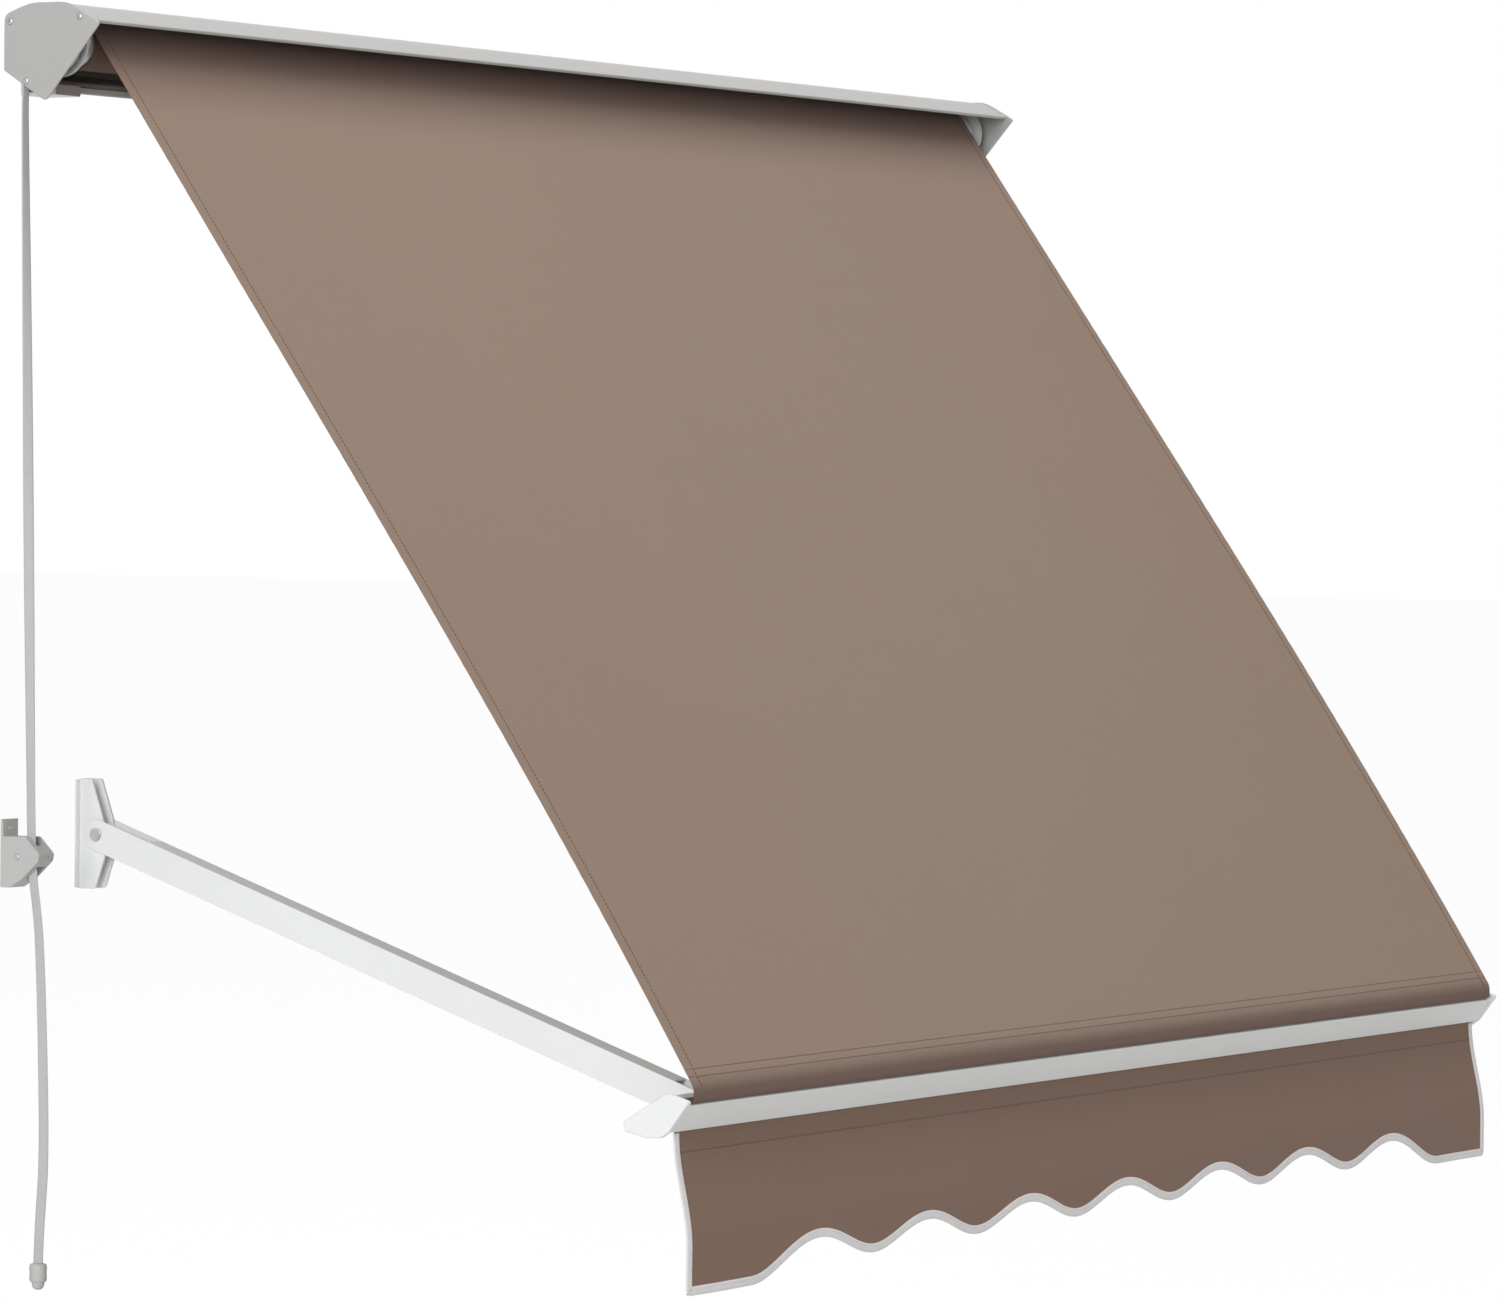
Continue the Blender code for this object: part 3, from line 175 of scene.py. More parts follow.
class AwningCloth(bpy.types.PropertyGroup):
    """Sizes and colours of the canopy and the valance."""

    canopy_colour: FloatVectorProperty(
        name="Canopy", description="Colour of the canopy's yarn", subtype="COLOR",
        size=3, min=0, max=1, default=(0.292, 0.208, 0.152))
    # The same cloth as the canopy, set darker: painted shade on the upright valance
    valance_colour: FloatVectorProperty(
        name="Valance", description="Colour of the valance's yarn", subtype="COLOR",
        size=3, min=0, max=1, default=(0.229, 0.141, 0.100))
    binding_colour: FloatVectorProperty(
        name="Binding", description="Colour of the edge tape", subtype="COLOR",
        size=3, min=0, max=1, default=(0.83, 0.815, 0.81))
    thread_colour: FloatVectorProperty(
        name="Thread", description="Colour of the sewing thread", subtype="COLOR",
        size=3, min=0, max=1, default=(0.085, 0.055, 0.048))
    yarn_pitch: FloatProperty(
        name="Yarn Pitch", description="Distance between two yarns of the cloth",
        default=1.1 * MILLIMETRE, unit="LENGTH")
    crown: FloatProperty(
        name="Crown", description="How far the tight canopy bows out between roller and rail",
        default=9.0 * MILLIMETRE, unit="LENGTH")
    ripple: FloatProperty(
        name="Ripple", description="Height of the slack waves in the canopy",
        default=0.7 * MILLIMETRE, unit="LENGTH")
    fold: FloatProperty(
        name="Fold", description="Depth of the valance's soft upright folds",
        default=1.8 * MILLIMETRE, unit="LENGTH")
    hem_width: FloatProperty(
        name="Hem Width", description="Width of the sewn side hems",
        default=18 * MILLIMETRE, unit="LENGTH")
    stitch_pitch: FloatProperty(
        name="Stitch Pitch", description="Distance from one stitch to the next",
        default=4.0 * MILLIMETRE, unit="LENGTH")
    stitch_length: FloatProperty(
        name="Stitch Length", description="Length of thread that shows in one stitch",
        default=3.0 * MILLIMETRE, unit="LENGTH")
    thread_radius: FloatProperty(
        name="Thread Radius", description="Radius of the sewing thread",
        default=0.42 * MILLIMETRE, unit="LENGTH")


class AwningMetal(bpy.types.PropertyGroup):
    """Colours of the painted, moulded and bare metal pieces."""

    # Set far darker than the same white paint on the rail and arms: painted shade on the cassette
    cassette_colour: FloatVectorProperty(
        name="Cassette", description="Paint of the cassette and its plates", subtype="COLOR",
        size=3, min=0, max=1, default=(0.45, 0.445, 0.435))
    rail_colour: FloatVectorProperty(
        name="Rail", description="Paint of the front rail", subtype="COLOR",
        size=3, min=0, max=1, default=(0.80, 0.81, 0.80))
    arm_colour: FloatVectorProperty(
        name="Arms", description="Paint of the arms and brackets", subtype="COLOR",
        size=3, min=0, max=1, default=(0.84, 0.85, 0.85))
    # Set far darker than the rail caps' white plastic, which wears the arms' paint: painted shade
    plastic_colour: FloatVectorProperty(
        name="Plastic", description="Moulded caps, spool, plugs and strap lock", subtype="COLOR",
        size=3, min=0, max=1, default=(0.515, 0.513, 0.505))
    bare_colour: FloatVectorProperty(
        name="Aluminium", description="Unpainted aluminium", subtype="COLOR",
        size=3, min=0, max=1, default=(0.64, 0.64, 0.65))
    steel_colour: FloatVectorProperty(
        name="Steel", description="Zinc-plated pins and screws", subtype="COLOR",
        size=3, min=0, max=1, default=(0.52, 0.52, 0.53))
    edge_radius: FloatProperty(
        name="Edge Radius", description="Rounding of sheet metal and extruded edges",
        default=0.5 * MILLIMETRE, unit="LENGTH")


class AwningStrap(bpy.types.PropertyGroup):
    """Colour and rib size of the pull strap."""

    colour: FloatVectorProperty(
        name="Webbing", description="Colour of the webbing", subtype="COLOR",
        size=3, min=0, max=1, default=(0.55, 0.55, 0.545))
    rib: FloatProperty(
        name="Rib", description="Distance between the webbing's cross ribs",
        default=1.3 * MILLIMETRE, unit="LENGTH")


class AwningStudio(bpy.types.PropertyGroup):
    """Light of the plain studio."""

    sky: FloatProperty(name="Sky", description="Strength of the even light", default=0.20)
    top: FloatProperty(name="Top Light", description="Power of the large lamp above, in watts",
                       default=215.0)
    side: FloatProperty(name="Side Light", description="Power of the lamp at the left, in watts",
                        default=265.0)
    front: FloatProperty(name="Front Light", description="Power of the lamp in front, in watts",
                         default=40.0)


# Small helpers

def settings():
    return bpy.context.scene


def link(name, mesh):
    piece = bpy.data.objects.new(name, mesh)
    bpy.context.scene.collection.objects.link(piece)
    return piece


def flatten(piece):
    """Applies a piece's modifiers and gives it a plain mesh of its own."""
    bpy.context.view_layer.update()
    graph = bpy.context.evaluated_depsgraph_get()
    mesh = bpy.data.meshes.new_from_object(piece.evaluated_get(graph))
    piece.modifiers.clear()
    piece.data = mesh
    return piece


def smooth(piece, angle):
    piece.data.shade_smooth()
    piece.data.set_sharp_from_angle(angle=radians(angle))
    return piece


def wear(piece, material):
    piece.data.materials.clear()
    piece.data.materials.append(material)
    return piece


def dressed(node, look, body, edge=0.0, angle=32):
    """A merged, edge-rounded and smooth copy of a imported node, in its place."""
    work = bmesh.new()
    work.from_mesh(NODES[node].data)
    bmesh.ops.remove_doubles(work, verts=work.verts, dist=3e-6)
    bmesh.ops.dissolve_limit(work, angle_limit=radians(0.5), verts=work.verts, edges=work.edges)
    piece = link(f"{node}_finished", to_mesh(work, f"{node}_finished"))
    if edge:
        rounding = piece.modifiers.new("edge", "BEVEL")
        rounding.width = edge
        rounding.segments = 2
        rounding.limit_method = "ANGLE"
        rounding.angle_limit = radians(38)
        rounding.use_clamp_overlap = True
        flatten(piece)
    smooth(piece, angle)
    even = piece.modifiers.new("even", "WEIGHTED_NORMAL")
    even.keep_sharp = True
    flatten(piece)
    return settle(piece, look, body, node)


def settle(piece, look, body, *nodes):
    """Gives a piece its material, hides its nodes and hangs it on its body."""
    material, slot = look
    wear(piece, paint(material))
    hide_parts(*nodes)
    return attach(piece, body)


def bend_path(corners, step=radians(6)):
    """Points along straight runs joined by arcs; each corner is (x, y, radius)."""
    points = []
    for index, (x, y, radius) in enumerate(corners):
        corner = Vector((x, y))
        if index in (0, len(corners) - 1) or radius <= 0:
            points.append(corner)
            continue
        before = (Vector(corners[index - 1][:2]) - corner).normalized()
        after = (Vector(corners[index + 1][:2]) - corner).normalized()
        half = before.angle(after) / 2
        centre = corner + (before + after).normalized() * (radius / sin(half))
        start = corner + before * (radius / tan(half)) - centre
        turn = start.angle_signed(corner + after * (radius / tan(half)) - centre)
        steps = max(3, int(abs(turn) / step) + 1)
        base = atan2(start.y, start.x)
        for i in range(steps + 1):
            angle = base - turn * i / steps
            points.append(centre + Vector((cos(angle), sin(angle))) * radius)
    return points


def sheet_mesh(name, grid, flat, closed_columns=False):
    """A mesh through rows of points, with a UV map in metres taken from flat."""
    work = bmesh.new()
    layer = work.loops.layers.uv.new("cloth")
    rows = [[work.verts.new(point) for point in row] for row in grid]
    for r in range(len(rows) - 1):
        columns = len(rows[r])
        last = columns if closed_columns else columns - 1
        for c in range(last):
            d = (c + 1) % columns
            face = work.faces.new((rows[r][c], rows[r + 1][c], rows[r + 1][d], rows[r][d]))
            marks = (flat[r][c], flat[r + 1][c], flat[r + 1][d], flat[r][d])
            for loop, mark in zip(face.loops, marks):
                loop[layer].uv = mark
    return to_mesh(work, name)


def thicken(piece, thickness):
    solid = piece.modifiers.new("cloth", "SOLIDIFY")
    solid.thickness = thickness
    solid.offset = 0.0
    solid.use_even_offset = False
    return flatten(piece)


def to_mesh(work, name):
    mesh = bpy.data.meshes.new(name)
    work.to_mesh(mesh)
    work.free()
    return mesh


def run_lengths(line):
    """Length along a line from its first point to each of its points."""
    lengths = [0.0]
    for a, b in zip(line, line[1:]):
        lengths.append(lengths[-1] + (b - a).length)
    return lengths


def headings(line):
    """The direction of a line at each of its points, taken between the neighbours."""
    last = len(line) - 1
    return [(line[min(i + 1, last)] - line[max(i - 1, 0)]).normalized() for i in range(last + 1)]


def clamp(value):
    return max(0.0, min(1.0, value))


def spread(half, count):
    """Even places from one side of the middle to the other."""
    return [half * (2 * i / count - 1) for i in range(count + 1)]


def revolve(name, profile, place, along, steps=40):
    """A turned mesh; profile is (radius, distance along the axis) pairs."""
    work = bmesh.new()
    turn = Vector(along).to_track_quat("Z", "Y").to_matrix().to_4x4()
    home = Matrix.Translation(place) @ turn
    rings = []
    for radius, height in profile:
        if radius <= 0:
            rings.append([work.verts.new(home @ Vector((0, 0, height)))])
            continue
        rings.append([work.verts.new(home @ Vector((radius * cos(2 * pi * i / steps),
                                                    radius * sin(2 * pi * i / steps), height)))
                      for i in range(steps)])
    for low, high in zip(rings, rings[1:]):
        for i in range(steps):
            j = (i + 1) % steps
            if len(low) == 1:
                work.faces.new((low[0], high[i], high[j]))
            elif len(high) == 1:
                work.faces.new((low[i], low[j], high[0]))
            else:
                work.faces.new((low[i], low[j], high[j], high[i]))
    bmesh.ops.remove_doubles(work, verts=work.verts, dist=1e-6)
    bmesh.ops.recalc_face_normals(work, faces=work.faces)
    return to_mesh(work, name)


def sweep(name, path, frames, profile):
    """A mesh of a flat profile carried along a path; frames gives (across, up) at each point.

    The UV map runs across the profile and along the path, in metres.
    """
    lengths = run_lengths(path)
    work = bmesh.new()
    layer = work.loops.layers.uv.new("cloth")
    rings = []
    for point, (across, up) in zip(path, frames):
        rings.append([work.verts.new(point + across * a + up * b) for a, b in profile])
    count = len(profile)
    for r in range(len(rings) - 1):
        for c in range(count):
            d = (c + 1) % count
            face = work.faces.new((rings[r][c], rings[r + 1][c], rings[r + 1][d], rings[r][d]))
            marks = ((profile[c][0], lengths[r]), (profile[c][0], lengths[r + 1]),
                     (profile[d][0], lengths[r + 1]), (profile[d][0], lengths[r]))
            for loop, mark in zip(face.loops, marks):
                loop[layer].uv = mark
    for ring, row in ((rings[0], 0), (rings[-1], -1)):
        face = work.faces.new(ring)
        for loop, mark in zip(face.loops, profile):
            loop[layer].uv = (mark[0], lengths[row] + mark[1])
    bmesh.ops.recalc_face_normals(work, faces=work.faces)
    return to_mesh(work, name)


def tree_node(tree, kind, choices=None, values=None):
    """A new node with its choices set, and its inputs given a value or joined to a socket."""
    made = tree.nodes.new(kind)
    for key, value in (choices or {}).items():
        setattr(made, key, value)
    for key, value in (values or {}).items():
        if isinstance(value, bpy.types.NodeSocket):
            tree.links.new(value, made.inputs[key])
        else:
            made.inputs[key].default_value = value
    return made


# Shader building

def joining(operation, turned=False):
    """A method that joins a signal with a number or another signal."""
    def join(self, other=0.0):
        first, second = (other, self) if turned else (self, other)
        return self.finish.node("ShaderNodeMath", {"operation": operation},
                                {0: first, 1: second})
    return join


class Signal:
    """A shader socket that takes part in sums and products."""

    def __init__(self, finish, socket):
        self.finish = finish
        self.socket = socket

    __add__ = joining("ADD")
    __radd__ = joining("ADD", turned=True)
    __sub__ = joining("SUBTRACT")
    __rsub__ = joining("SUBTRACT", turned=True)
    __mul__ = joining("MULTIPLY")
    __abs__ = joining("ABSOLUTE")
    sine = joining("SINE")
    most = joining("MAXIMUM")


SHADER_SOCKETS = {"specular": "Specular IOR Level", "sheen": "Sheen Weight",
                  "sheen_roughness": "Sheen Roughness"}


class Finish:
    """A material with one Principled shader, and the nodes that vary it."""

    def __init__(self, name, colour, roughness, metallic=0.0, **constants):
        self.material = bpy.data.materials.new(name)
        self.material.use_nodes = True
        self.tree = self.material.node_tree
        self.shader = self.tree.nodes["Principled BSDF"]
        self.colour = colour
        self.set("Base Color", (*colour, 1.0))
        self.set("Roughness", roughness)
        self.set("Metallic", metallic)
        for key, value in constants.items():
            self.set(SHADER_SOCKETS[key], value)
        self.material.diffuse_color = (*colour, 1.0)

    def set(self, socket, value):
        if isinstance(value, Signal):
            self.tree.links.new(value.socket, self.shader.inputs[socket])
        else:
            self.shader.inputs[socket].default_value = value

    def node(self, kind, choices=None, values=None, output=0):
        values = {key: value.socket if isinstance(value, Signal) else value
                  for key, value in (values or {}).items()}
        return Signal(self, tree_node(self.tree, kind, choices, values).outputs[output])

    def place(self):
        """Object coordinates, which are metres in the awning's own frame."""
        return self.node("ShaderNodeTexCoord", output="Object")

    def cloth_map(self):
        mark = self.node("ShaderNodeUVMap", {"uv_map": "cloth"})
        across = self.node("ShaderNodeSeparateXYZ", values={0: mark}, output=0)
        along = self.node("ShaderNodeSeparateXYZ", values={0: mark}, output=1)
        return mark, across, along

    def stretched(self, where, scale):
        return self.node("ShaderNodeMapping", values={"Vector": where, "Scale": scale})

    def speckle(self, where, scale, detail=3.0, roughness=0.5):
        return self.node("ShaderNodeTexNoise", values={
            "Vector": where, "Scale": scale, "Detail": detail, "Roughness": roughness})

    def ease(self, value, low, high, start=0.0, end=1.0):
        return self.node("ShaderNodeMapRange", {"interpolation_type": "SMOOTHSTEP"}, {
            "Value": value, "From Min": low, "From Max": high, "To Min": start, "To Max": end})

    def tint(self, amount, first, second):
        """Mixes two colours by an amount."""
        return self.node("ShaderNodeMix", {"data_type": "RGBA"}, {
            0: amount, 6: first if isinstance(first, Signal) else (*first, 1.0),
            7: second if isinstance(second, Signal) else (*second, 1.0)}, output=2)

    def toned(self, amount, low, high):
        """Varies the brightness of the finish's own colour."""
        return self.tint(amount, shade(self.colour, low), shade(self.colour, high))

    def relief(self, height, distance, strength=1.0):
        self.set("Normal", self.node("ShaderNodeBump", values={
            "Height": height, "Distance": distance, "Strength": strength}))


def shade(colour, factor):
    return tuple(min(1.0, c * factor) for c in colour)


def powder_coat(name, colour):
    """Satin powder coat: a fine pebbled skin, faint clouding and handling marks."""
    finish = Finish(name, colour, 0.42, specular=0.45)
    where = finish.place()
    clouds = finish.speckle(where, 5.0, 4.0)
    pebble = finish.speckle(where, 900.0, 2.0)
    marks = finish.ease(finish.speckle(where, 38.0, 5.0, 0.65), 0.55, 0.80)
    toned = finish.toned(clouds, 0.955, 1.035)
    finish.set("Base Color", finish.tint(marks * 0.12, toned, shade(colour, 0.80)))
    finish.set("Roughness", 0.36 + clouds * 0.10 + marks * 0.08)
    finish.relief(pebble, 0.00006, 0.5)
    return finish.material


def moulded_plastic(name, colour):
    """Moulded plastic with a spark-eroded grain and soft scuffs."""
    finish = Finish(name, colour, 0.5, specular=0.42)
    where = finish.place()
    grain = finish.node("ShaderNodeTexVoronoi", {"feature": "SMOOTH_F1"},
                        {"Vector": where, "Scale": 1400.0})
    clouds = finish.speckle(where, 14.0, 4.0)
    scuffs = finish.ease(finish.speckle(finish.stretched(where, (60, 60, 22)), 2.0, 6.0, 0.7),
                         0.58, 0.78)
    toned = finish.toned(clouds, 0.95, 1.04)
    finish.set("Base Color", finish.tint(scuffs * 0.14, toned, shade(colour, 0.78)))
    finish.set("Roughness", 0.44 + clouds * 0.08 + scuffs * 0.12)
    finish.relief(grain, 0.00005, 0.5)
    return finish.material


def drawn_aluminium(name, colour):
    """Extruded or cast aluminium, with fine draw lines along the width."""
    finish = Finish(name, colour, 0.45, 0.60)
    where = finish.place()
    lines = finish.speckle(finish.stretched(where, (3.0, 950.0, 950.0)), 1.0, 4.0, 0.6)
    dull = finish.speckle(where, 24.0, 5.0)
    finish.set("Base Color", finish.toned(dull, 0.86, 1.08))
    finish.set("Roughness", 0.26 + lines * 0.18 + dull * 0.12)
    finish.relief(lines, 0.00003, 0.5)
    return finish.material


def zinc_plate(name, colour):
    """Bright zinc with a mottled passivated bloom."""
    finish = Finish(name, colour, 0.3, 1.0)
    where = finish.place()
    bloom = finish.speckle(where, 260.0, 4.0, 0.6)
    finish.set("Base Color", finish.toned(bloom, 0.72, 1.15))
    finish.set("Roughness", 0.22 + bloom * 0.22)
    finish.relief(bloom, 0.00002, 0.4)
    return finish.material


def awning_cloth(name, colour, pitch, half_width, fade=0.5, shadow_colour=None):
    """Plain-woven solution-dyed acrylic: yarns over and under, slubs and a heathered tone; given a
    shadow colour, painted shade near the roll and the rail.
    """
    finish = Finish(name, colour, 0.88, specular=0.22, sheen=0.12,
                    sheen_roughness=0.5)
    mark, across, along = finish.cloth_map()
    turns = 2 * pi / pitch
    weave = (across * turns).sine() * (along * turns).sine()
    slub_warp = finish.speckle(finish.stretched(mark, (620.0, 11.0, 1.0)), 1.0, 3.0, 0.6)
    slub_weft = finish.speckle(finish.stretched(mark, (9.0, 560.0, 1.0)), 1.0, 3.0, 0.6)
    heather = finish.speckle(mark, 420.0, 3.0, 0.7)
    broad = finish.speckle(mark, 1.7, 2.0, 0.4)
    tone = 0.5 + weave * 0.10 + (slub_warp - 0.5) * 0.55 + (slub_weft - 0.5) * 0.50 \
        + (heather - 0.5) * 0.35 + (broad - 0.5) * 0.30
    woven = finish.toned(tone, 0.90, 1.10)
    edge = finish.ease(abs(across), half_width * 0.35, half_width, 0.0, fade)
    warm = (colour[0], colour[1] * 0.955, colour[2] * 0.965)
    pale = finish.tint(tone, shade(warm, 0.90), shade(warm, 1.10))
    sunned_and_shaded = finish.tint(edge * 0.8, woven, pale)
    if shadow_colour:
        # Painted shadow beside the roller, under the hood, and painted shade where the hem meets
        # the rail
        first, last = canopy_ends()
        kept = finish.ease(along, first, first + ROLL_SHADOW_REACH, 0.85, 0.0)
        hem_shade = finish.ease(along, last - HEM_SHADE_BAND[0], last - HEM_SHADE_BAND[1], 0.0, 0.75)
        sunned_and_shaded = finish.tint(kept.most(hem_shade), sunned_and_shaded, shadow_colour)
    finish.set("Base Color", sunned_and_shaded)
    finish.set("Roughness", 0.84 + (slub_weft - 0.5) * 0.12)
    finish.relief(weave * 0.5 + slub_warp * 0.35 + slub_weft * 0.35, 0.00022, 0.6)
    return finish.material


def edge_tape(name, colour):
    """Woven grosgrain tape with fine cross ribs and faint patches of soiling."""
    finish = Finish(name, colour, 0.8, specular=0.25, sheen=0.15)
    mark, across, along = finish.cloth_map()
    ribs = (along * (2 * pi / (0.9 * MILLIMETRE))).sine()
    fuzz = finish.speckle(mark, 900.0, 3.0, 0.6)
    soil = finish.ease(finish.speckle(mark, 26.0, 4.0, 0.6), 0.45, 0.80)
    tone = 0.5 + ribs * 0.18 + (fuzz - 0.5) * 0.5
    woven = finish.toned(tone, 0.90, 1.06)
    finish.set("Base Color", finish.tint(soil * 0.18, woven, shade(colour, 0.72)))
    finish.set("Roughness", 0.76 + fuzz * 0.12)
    finish.relief(ribs * 0.5 + fuzz * 0.4, 0.00016, 0.6)
    return finish.material


def webbing(name, colour, rib, half_width):
    """Narrow woven strap: cross ribs, a herringbone middle and two selvedge cords."""
    finish = Finish(name, colour, 0.78, specular=0.3, sheen=0.15)
    mark, across, along = finish.cloth_map()
    lean = abs(across) * 0.9
    twill = ((along + lean) * (2 * pi / rib)).sine()
    selvedge = finish.ease(abs(across), half_width * 0.72, half_width * 0.80)
    groove = selvedge * (1 - finish.ease(abs(across), half_width * 0.82, half_width * 0.90))
    fuzz = finish.speckle(mark, 800.0, 3.0, 0.6)
    worn = finish.ease(finish.speckle(mark, 30.0, 4.0, 0.6), 0.5, 0.8)
    tone = 0.5 + twill * 0.26 + (fuzz - 0.5) * 0.4 - groove * 0.4
    woven = finish.toned(tone, 0.84, 1.12)
    finish.set("Base Color", finish.tint(worn * 0.2, woven, shade(colour, 0.78)))
    finish.set("Roughness", 0.72 + fuzz * 0.14)
    finish.relief(twill * 0.5 + selvedge * 0.5 + fuzz * 0.2, 0.0002, 0.7)
    return finish.material


def sewing_thread(name, colour):
    """Twisted polyester thread."""
    finish = Finish(name, colour, 0.62, specular=0.35)
    where = finish.place()
    twist = finish.speckle(where, 2200.0, 2.0)
    finish.set("Base Color", finish.toned(twist, 0.80, 1.25))
    finish.set("Roughness", 0.55 + twist * 0.15)
    finish.relief(twist, 0.00005, 0.5)
    return finish.material


# Geometry-node trees

def geometry_tree(name, inputs, output):
    """A new tree with inputs from (name, kind, default), and the sockets they come in by."""
    tree = bpy.data.node_groups.new(name, "GeometryNodeTree")
    for label, kind, default in inputs:
        socket = tree.interface.new_socket(label, in_out="INPUT",
                                           socket_type="NodeSocket" + kind)
        if default is not None:
            socket.default_value = default
    tree.interface.new_socket(output, in_out="OUTPUT", socket_type="NodeSocketGeometry")
    return tree, tree.nodes.new("NodeGroupInput").outputs


def give_out(tree, place, material):
    """Makes the placed copies real, gives them their material and ends the tree."""
    real = tree_node(tree, "GeometryNodeRealizeInstances", values={0: place.outputs[0]})
    painted = tree_node(tree, "GeometryNodeSetMaterial", values={
        "Geometry": real.outputs[0], "Material": material})
    tree_node(tree, "NodeGroupOutput", values={0: painted.outputs[0]})
    return tree


def stitch_tree():
    """Runs of thread along a polyline: one short capsule for each stitch."""
    tree, given = geometry_tree("Stitch Run", (
        ("Seam", "Geometry", None), ("Pitch", "Float", 0.004), ("Length", "Float", 0.003),
        ("Thread Radius", "Float", 0.0004), ("Thread", "Material", None)), "Stitches")
    seam = tree_node(tree, "GeometryNodeMeshToCurve", values={0: given["Seam"]})
    points = tree_node(tree, "GeometryNodeCurveToPoints", {"mode": "LENGTH"},
                       {"Curve": seam.outputs[0], "Length": given["Pitch"]})
    aim = tree_node(tree, "FunctionNodeAlignRotationToVector", {"axis": "Z"},
                    {"Vector": points.outputs["Tangent"]})
    bead = tree_node(tree, "GeometryNodeMeshUVSphere",
                     values={"Segments": 6, "Rings": 4, "Radius": 1.0})
    half = tree_node(tree, "ShaderNodeMath", {"operation": "MULTIPLY"},
                     {0: given["Length"], 1: 0.5})
    size = tree_node(tree, "ShaderNodeCombineXYZ", values={
        "X": given["Thread Radius"], "Y": given["Thread Radius"], "Z": half.outputs[0]})
    place = tree_node(tree, "GeometryNodeInstanceOnPoints", values={
        "Points": points.outputs["Points"], "Instance": bead.outputs["Mesh"],
        "Rotation": aim.outputs["Rotation"], "Scale": size.outputs[0]})
    return give_out(tree, place, given["Thread"])


def screw_tree():
    """One screw at each point, turned so that its head looks along the point's normal."""
    tree, given = geometry_tree("Screw Set", (
        ("Places", "Geometry", None), ("Screw", "Object", None), ("Size", "Float", 1.0),
        ("Steel", "Material", None)), "Screws")
    model = tree_node(tree, "GeometryNodeObjectInfo", {"transform_space": "ORIGINAL"},
                      {"Object": given["Screw"]})
    looks = tree_node(tree, "GeometryNodeInputNamedAttribute", {"data_type": "FLOAT_VECTOR"},
                      {"Name": "outwards"})
    aim = tree_node(tree, "FunctionNodeAlignRotationToVector", {"axis": "Z"},
                    {"Vector": looks.outputs["Attribute"]})
    turn = tree_node(tree, "FunctionNodeRandomValue", {"data_type": "FLOAT"},
                     {"Min": 0.0, "Max": pi, "Seed": 7})
    spin = tree_node(tree, "FunctionNodeAxisAngleToRotation",
                     values={"Axis": (0, 0, 1), "Angle": turn.outputs[1]})
    both = tree_node(tree, "FunctionNodeRotateRotation", {"rotation_space": "LOCAL"},
                     {"Rotation": aim.outputs["Rotation"],
                      "Rotate By": spin.outputs["Rotation"]})
    place = tree_node(tree, "GeometryNodeInstanceOnPoints", values={
        "Points": given["Places"], "Instance": model.outputs["Geometry"],
        "Rotation": both.outputs["Rotation"], "Scale": given["Size"]})
    return give_out(tree, place, given["Steel"])


def grow(name, host_mesh, tree, values):
    """Runs a node tree on a host mesh and returns the result as a plain piece."""
    piece = link(name, host_mesh)
    step = piece.modifiers.new("grow", "NODES")
    step.node_group = tree
    names = {item.name: item.identifier for item in tree.interface.items_tree
             if item.in_out == "INPUT"}
    for key, value in values.items():
        step[names[key]] = value
    return flatten(piece)


def seam_mesh(name, runs):
    """A mesh of bare polylines, one for each seam."""
    mesh = bpy.data.meshes.new(name)
    points, edges = [], []
    for run in runs:
        base = len(points)
        points += run
        edges += [(base + i, base + i + 1) for i in range(len(run) - 1)]
    mesh.from_pydata(points, edges, [])
    return mesh


def stitched(name, seam, runs, thread, share=1.0):
    """Stitches along runs of points, in a thread of this share of the usual radius."""
    cloth = settings().awning_cloth
    tree = bpy.data.node_groups.get("Stitch Run") or stitch_tree()
    return grow(name, seam_mesh(seam, runs), tree, {
        "Pitch": cloth.stitch_pitch, "Length": cloth.stitch_length,
        "Thread Radius": cloth.thread_radius * share, "Thread": paint(thread)})


# Shared finishes and values

def painted_shade_colour(cloth):
    """The canopy's colour darkened, for painted shade."""
    return tuple(c * share for c, share in zip(cloth.canopy_colour, PAINTED_SHADE_SHARES))


def canopy_ends():
    """Length along the cloth to where it leaves the roll and to its end."""
    lengths = run_lengths(canopy_line(settings().awning_cloth.crown))
    return lengths[ROLL_WRAP], lengths[-1]


